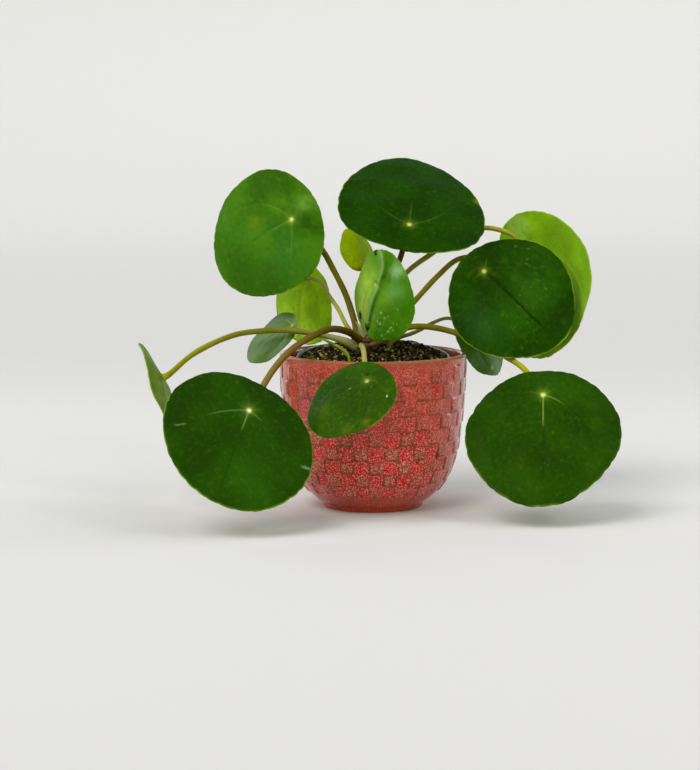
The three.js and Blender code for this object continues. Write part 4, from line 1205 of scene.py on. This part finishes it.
# Heights of the wall's plain rings outside, below and above the relief, and inside.
POT_BELOW_BAND = (3.9, 4.8, 6, 7.2, 8.4, 9.2)
POT_ABOVE_BAND = (86.8, 87.8, 88.6)
POT_INSIDE = (84, 76, 66, 55, 44, 34, 26, 19, 13, 9)
# The foot's heights with its reach past the foot radius, and the floor's heights with its radii.
POT_FOOT_WAY = [(0, -2.2), (0, -0.9), (0.2, -0.35), (0.7, 0), (2.0, 0.05), (2.7, 0.35), (3.2, 0.95)]
POT_FLOOR_WAY = [(6.4, 34.5), (5.0, 32), (POT_FLOOR_TOP, 28), (POT_FLOOR_TOP, 12)]
CELL_EDGE = 0.13


def wall_radius(heights):
    """The outer wall's radius, from a smooth line through its way."""
    line, _ = smooth_way([np.array([radius, 0.0, z]) for radius, z in POT_WALL_WAY], 400)
    return np.interp(heights, line[:, 2], line[:, 0])


def row_lines():
    """Heights of the lines between the rows of squares, closer together towards the foot."""
    steps = np.linspace(POT_LOWER_ROW, POT_UPPER_ROW, POT_CELL_ROWS)
    lines = np.concatenate([[0], np.cumsum(steps)])
    return POT_BAND_BOTTOM + lines * (POT_BAND_TOP - POT_BAND_BOTTOM) / lines[-1]


def relief(angle, height):
    """Raised squares: how far each point stands out, whether it is on one, and its worn edges."""
    lines = row_lines()
    draw = np.random.default_rng(31)
    heights = draw.uniform(0.8, 1.15, (POT_CELL_ROWS, POT_CELLS_ROUND))
    leans = draw.uniform(-0.12, 0.12, (POT_CELL_ROWS, POT_CELLS_ROUND))
    wears = draw.uniform(0.25, 1.0, (POT_CELL_ROWS, POT_CELLS_ROUND, 4))
    wave = round_waves(angle, height, POT_MEAN_RADIUS, 32, 22)
    row_at = np.interp(height + 0.25 * wave, lines, np.arange(POT_CELL_ROWS + 1))
    row = np.clip(row_at.astype(int), 0, POT_CELL_ROWS - 1)
    turned = (angle + TURN / 4 - math.radians(POT_PATTERN_TURN)) / TURN * POT_CELLS_ROUND
    turned = turned + 0.5 + 0.035 * round_waves(angle, height, POT_MEAN_RADIUS, 33, 16)
    cell = np.floor(turned).astype(int) % POT_CELLS_ROUND
    # Places on a square run from -1 to 1: a across it and b upwards.
    a = (turned - np.floor(turned)) * 2 - 1
    b = (row_at - row) * 2 - 1
    in_a, in_b = 1 - np.abs(a), 1 - np.abs(b)
    inside = (height > lines[0]) & (height < lines[-1])
    raised = ((cell + row) % 2 == 0) & inside
    form = smooth(0, CELL_EDGE, in_a) * smooth(0, CELL_EDGE * 1.1, in_b) * raised
    dome = 1 - 0.22 * (a * a + b * b) / 2 - 0.18 * b + leans[row, cell] * a
    dish = 0.1 * (1 - raised) * inside * smooth(0, 0.5, in_a) * smooth(0, 0.5, in_b)
    stands_out = POT_RELIEF * heights[row, cell] * form * dome - dish
    at_bottom, at_left, at_right, at_top = np.moveaxis(wears[row, cell], -1, 0)
    sideways = 0.85 - 0.3 * b
    edges = [hill(b + 0.9, 0.16) * (0.4 + 0.6 * at_bottom) * 1.2,
             hill(a + 0.92, CELL_EDGE) * (0.2 + 0.8 * at_left) * sideways,
             hill(a - 0.92, CELL_EDGE) * (0.2 + 0.8 * at_right) * sideways,
             hill(b - 0.92, 0.14) * at_top * (0.35 + 0.5 * np.abs(a) ** 3)]
    worn = np.clip(np.maximum.reduce(edges) + 0.3 * at_top * at_left, 0, 1) * raised
    return stands_out, form, worn


def make_pot():
    """The cover pot: a fine grid outside for the relief, a plain glazed wall inside."""
    lines = row_lines()
    rows = [np.linspace(low, high, POT_RINGS_TO_A_ROW + 1)[:-1] for low, high in zip(lines, lines[1:])]
    outer_heights = np.concatenate([POT_BELOW_BAND, *rows, lines[-1:], POT_ABOVE_BAND])
    outside = [(z, POT_FOOT_RADIUS + reach) for z, reach in POT_FOOT_WAY]
    outside += [(z, wall_radius(z)) for z in outer_heights]
    lip = [(POT_HEIGHT - POT_LIP_ROUNDING * (1 - math.sin(turn)),
            POT_RIM_RADIUS - POT_WALL / 2 * (1 - math.cos(turn))) for turn in np.linspace(0, math.pi, 11)]
    inner = [(z, wall_radius(z) - POT_WALL) for z in POT_INSIDE]
    profile = np.array(outside + lip + inner + POT_FLOOR_WAY)
    count = len(outside)
    height, angle = ring_grid(profile[:, 0], POT_CELLS_ROUND * POT_SIDES_TO_A_CELL)
    radius = np.repeat(profile[:, 1:], height.shape[1], 1)
    stands_out, raised, worn = relief(angle[:count], height[:count])
    radius[:count] += stands_out
    radius += 0.16 * round_waves(angle, height, POT_MEAN_RADIUS, 35, 40, 7) * smooth(1, 6, height)
    points, faces = closed_body(on_rings(radius, angle, height), [[0, 0, 0], [0, 0, POT_FLOOR_TOP]])
    hidden = ((0, len(profile) - count), (0, 0))
    inside = np.zeros_like(height)
    inside[count + len(lip) // 2:] = 1
    rim = smooth(POT_HEIGHT - 2.2, POT_HEIGHT - 0.7, height)
    marks = {"raised": np.append(np.pad(raised, hidden), [0, 0]),
             "worn": np.append(np.pad(worn, hidden), [0, 0]),
             "inside": np.append(inside, [0, 1]), "rim": np.append(rim, [0, 0])}
    settle(make_piece("glazed_pot", points, faces, glaze_look(), marks), "pot")


def glaze_look():
    """Speckled red glaze that breaks to olive brown on the raised edges and copper at the rim."""
    look = Look("pot_glaze", specular_ior_level=0.4, specular_tint=linear("#ff8060", True),
                coat_weight=0.62, coat_roughness=0.03, coat_ior=1.36)
    place = look.place()
    raised, worn, inside, rim = (look.mark(name) for name in ("raised", "worn", "inside", "rim"))
    height = look.wire("ShaderNodeSeparateXYZ", {}, {0: place}, "Z")
    grit = look.cells(place, 0.5, "Color")
    speckle = look.part(grit)
    pale = look.part(grit, "Green").between(0.7, 0.88)
    deep = (1 - look.part(grit, "Green")).between(0.7, 0.9)
    broad = look.grain(place, 12, 3).between(0.4, 0.65)
    mottle_and_painted_shadow = look.grain(place, 5, 3).between(0.48, 0.66)
    patchy = look.grain(place, 1.7, 3, 0.65)
    fine = look.grain(place, 1.1, 3, 0.65)

    def speckled(low, high, light, dark, depth):
        """A ground between two reds with light and dark grit in it."""
        ground = look.blend(pale * 0.85, look.blend(speckle, low, high), light)
        return look.blend(deep * depth, ground, dark)

    recess = speckled("#c00c0e", "#ea3030", "#f29c86", "#6a0604", 0.75)
    pad = speckled("#a63a24", "#c86046", "#e4ac98", "#6a2604", 0.8)
    upward = height.between(0.03, 0.068)
    glaze = look.blend(raised * (0.85 - upward * 0.3), recess, pad)
    glaze = look.blend(upward * 0.5, glaze, look.blend(speckle, "#80301e", "#ac5642"))
    # Darker patches on the upper wall, partly the glaze's own mottling and partly painted shadow.
    glaze = look.blend(upward * mottle_and_painted_shadow * 0.4, glaze, "#6c2416")
    breaks = (worn * 1.15 + (patchy - 0.5) * 2.2).between(0.35, 0.68) * worn.between(0, 0.12)
    brown = look.blend(deep * 0.7, look.blend(pale * 0.4, "#5a3606", "#a87830"), "#2c1804")
    glaze = look.blend(breaks * (0.86 - upward * 0.16), glaze, brown)
    glaze = look.blend(broad * 0.12, glaze, "#963c1c")
    foot_band = 1 - height.between(0.0085, 0.0115)
    glaze = look.blend(foot_band * 0.7, glaze, look.blend(fine, "#a0300c", "#cc5626"))
    upper_band = height.between(0.084, 0.0885)
    glaze = look.blend(upper_band * 0.4, glaze, look.blend(fine, "#7c4020", "#b4684c"))
    glaze = look.blend(rim * 0.9, glaze, look.blend(fine, "#6e3710", "#a8683a"))
    lining = look.blend(look.grain(place, 5, 4), "#5a260c", "#9c5834")
    look.wear("Base Color", look.blend(inside * (1 - rim), glaze, lining))
    look.wear("Roughness", 0.1 + fine * 0.1 + breaks * 0.15)
    look.bump(fine * 0.6 + speckle * 0.25, 0.07)
    return look


# ---- floor, lights and camera ----

FLOOR_RADIUS = 2.4
FLOOR_SWEEP = 1.2
FLOOR_WALL_TOP = 1.8
FLOOR_SIDES = 96
PLANT_MIDDLE = Vector((0, 0, 0.1))

CAMERA_PLACE = (-0.0135, -1.385, 0.235)
CAMERA_DIP = 6.75
SENSOR_WIDTH = 36
# The lens as the photograph has it: its focal length and the longer side, both in pixels.
PHOTO_FOCAL_LENGTH = 2375
PHOTO_LONGER_SIDE = 770


def make_floor():
    """A pale floor that sweeps up to a wall all round."""
    profile = [(FLOOR_RADIUS, 0.0)]
    for turn in np.linspace(0, TURN / 4, 13)[1:]:
        profile.append((FLOOR_RADIUS + FLOOR_SWEEP * math.sin(turn), FLOOR_SWEEP * (1 - math.cos(turn))))
    profile.append((FLOOR_RADIUS + FLOOR_SWEEP, FLOOR_WALL_TOP))
    radius, height = np.array(profile).T / MM
    heights, angle = ring_grid(height, FLOOR_SIDES)
    rings = on_rings(radius[:, None], angle, heights)
    points = np.concatenate([[[0, 0, 0]], rings.reshape(-1, 3)])
    faces = fan_faces(0, 1, FLOOR_SIDES) + ring_faces(len(profile), FLOOR_SIDES, 1, True)
    look = Look("pale_floor", roughness=0.8, base_color=linear("#d7d7d5", True))
    make_piece("studio_floor", points, faces, look)


def add_lamp(name, place, power, colour, size=None, spread=None):
    """A lamp aimed at the plant: a panel with a size in metres and perhaps a narrow beam, or without a
    size a sun. Spread is the angle of that beam or sun in degrees."""
    lamp = bpy.data.lights.new(name, "AREA" if size else "SUN")
    lamp.energy = power
    lamp.color = colour
    if size:
        lamp.shape = "RECTANGLE"
        lamp.size, lamp.size_y = size
    if spread:
        setattr(lamp, "spread" if size else "angle", math.radians(spread))
    holder = in_scene(name, lamp)
    holder.location = place
    holder.rotation_euler = (PLANT_MIDDLE - Vector(place)).to_track_quat("-Z", "Y").to_euler()


def light_scene():
    """Two broad suns, two tall windows behind, two small glints in front, and a pale room."""
    add_lamp("key", (-1.1, -1.5, 2.1), 1.9, (1.0, 0.985, 0.96), spread=35)
    add_lamp("fill", (1.4, -0.9, 1.5), 0.7, (0.97, 0.98, 1.0), spread=70)
    add_lamp("window_left", (-0.9, 0.75, 0.55), 0.42, (0.9, 0.92, 1.0), (0.25, 1.1), 70)
    add_lamp("window_right", (1.15, 0.55, 0.58), 0.85, (0.92, 0.94, 1.0), (0.4, 1.1), 70)
    add_lamp("glint_right", (0.95, -0.95, 1.0), 2.6, (1.0, 0.93, 0.84), (0.1, 0.1))
    add_lamp("glint_left", (-1.2, -0.5, 0.9), 2.0, (1.0, 0.97, 0.94), (0.1, 0.1))
    world = bpy.data.worlds.new("studio")
    world.use_nodes = True
    shine = world.node_tree.nodes["Background"]
    shine.inputs["Color"].default_value = (0.98, 0.99, 1.0, 1)
    shine.inputs["Strength"].default_value = 0.42
    bpy.context.scene.world = world
    bpy.context.scene.view_settings.view_transform = "Standard"


def make_camera():
    """The photograph's view: a long lens a little above the plant, tipped down."""
    lens = bpy.data.cameras.new("camera")
    lens.sensor_width = SENSOR_WIDTH
    lens.lens = PHOTO_FOCAL_LENGTH * SENSOR_WIDTH / PHOTO_LONGER_SIDE
    lens.clip_start, lens.clip_end = 0.05, 50
    camera = in_scene("camera", lens)
    camera.location = CAMERA_PLACE
    camera.rotation_euler = (math.radians(90 - CAMERA_DIP), 0, 0)
    bpy.context.scene.camera = camera


# ---- the plant ----

make_camera()
make_pot()
make_nursery_pot()
make_soil()
make_stem()
sweep_tree = make_stalk_tree()
petiole_look = stalk_look()
for number, one in enumerate(LEAVES):
    make_stalk(one, sweep_tree, petiole_look)
    make_blade(one, number)
make_floor()
light_scene()
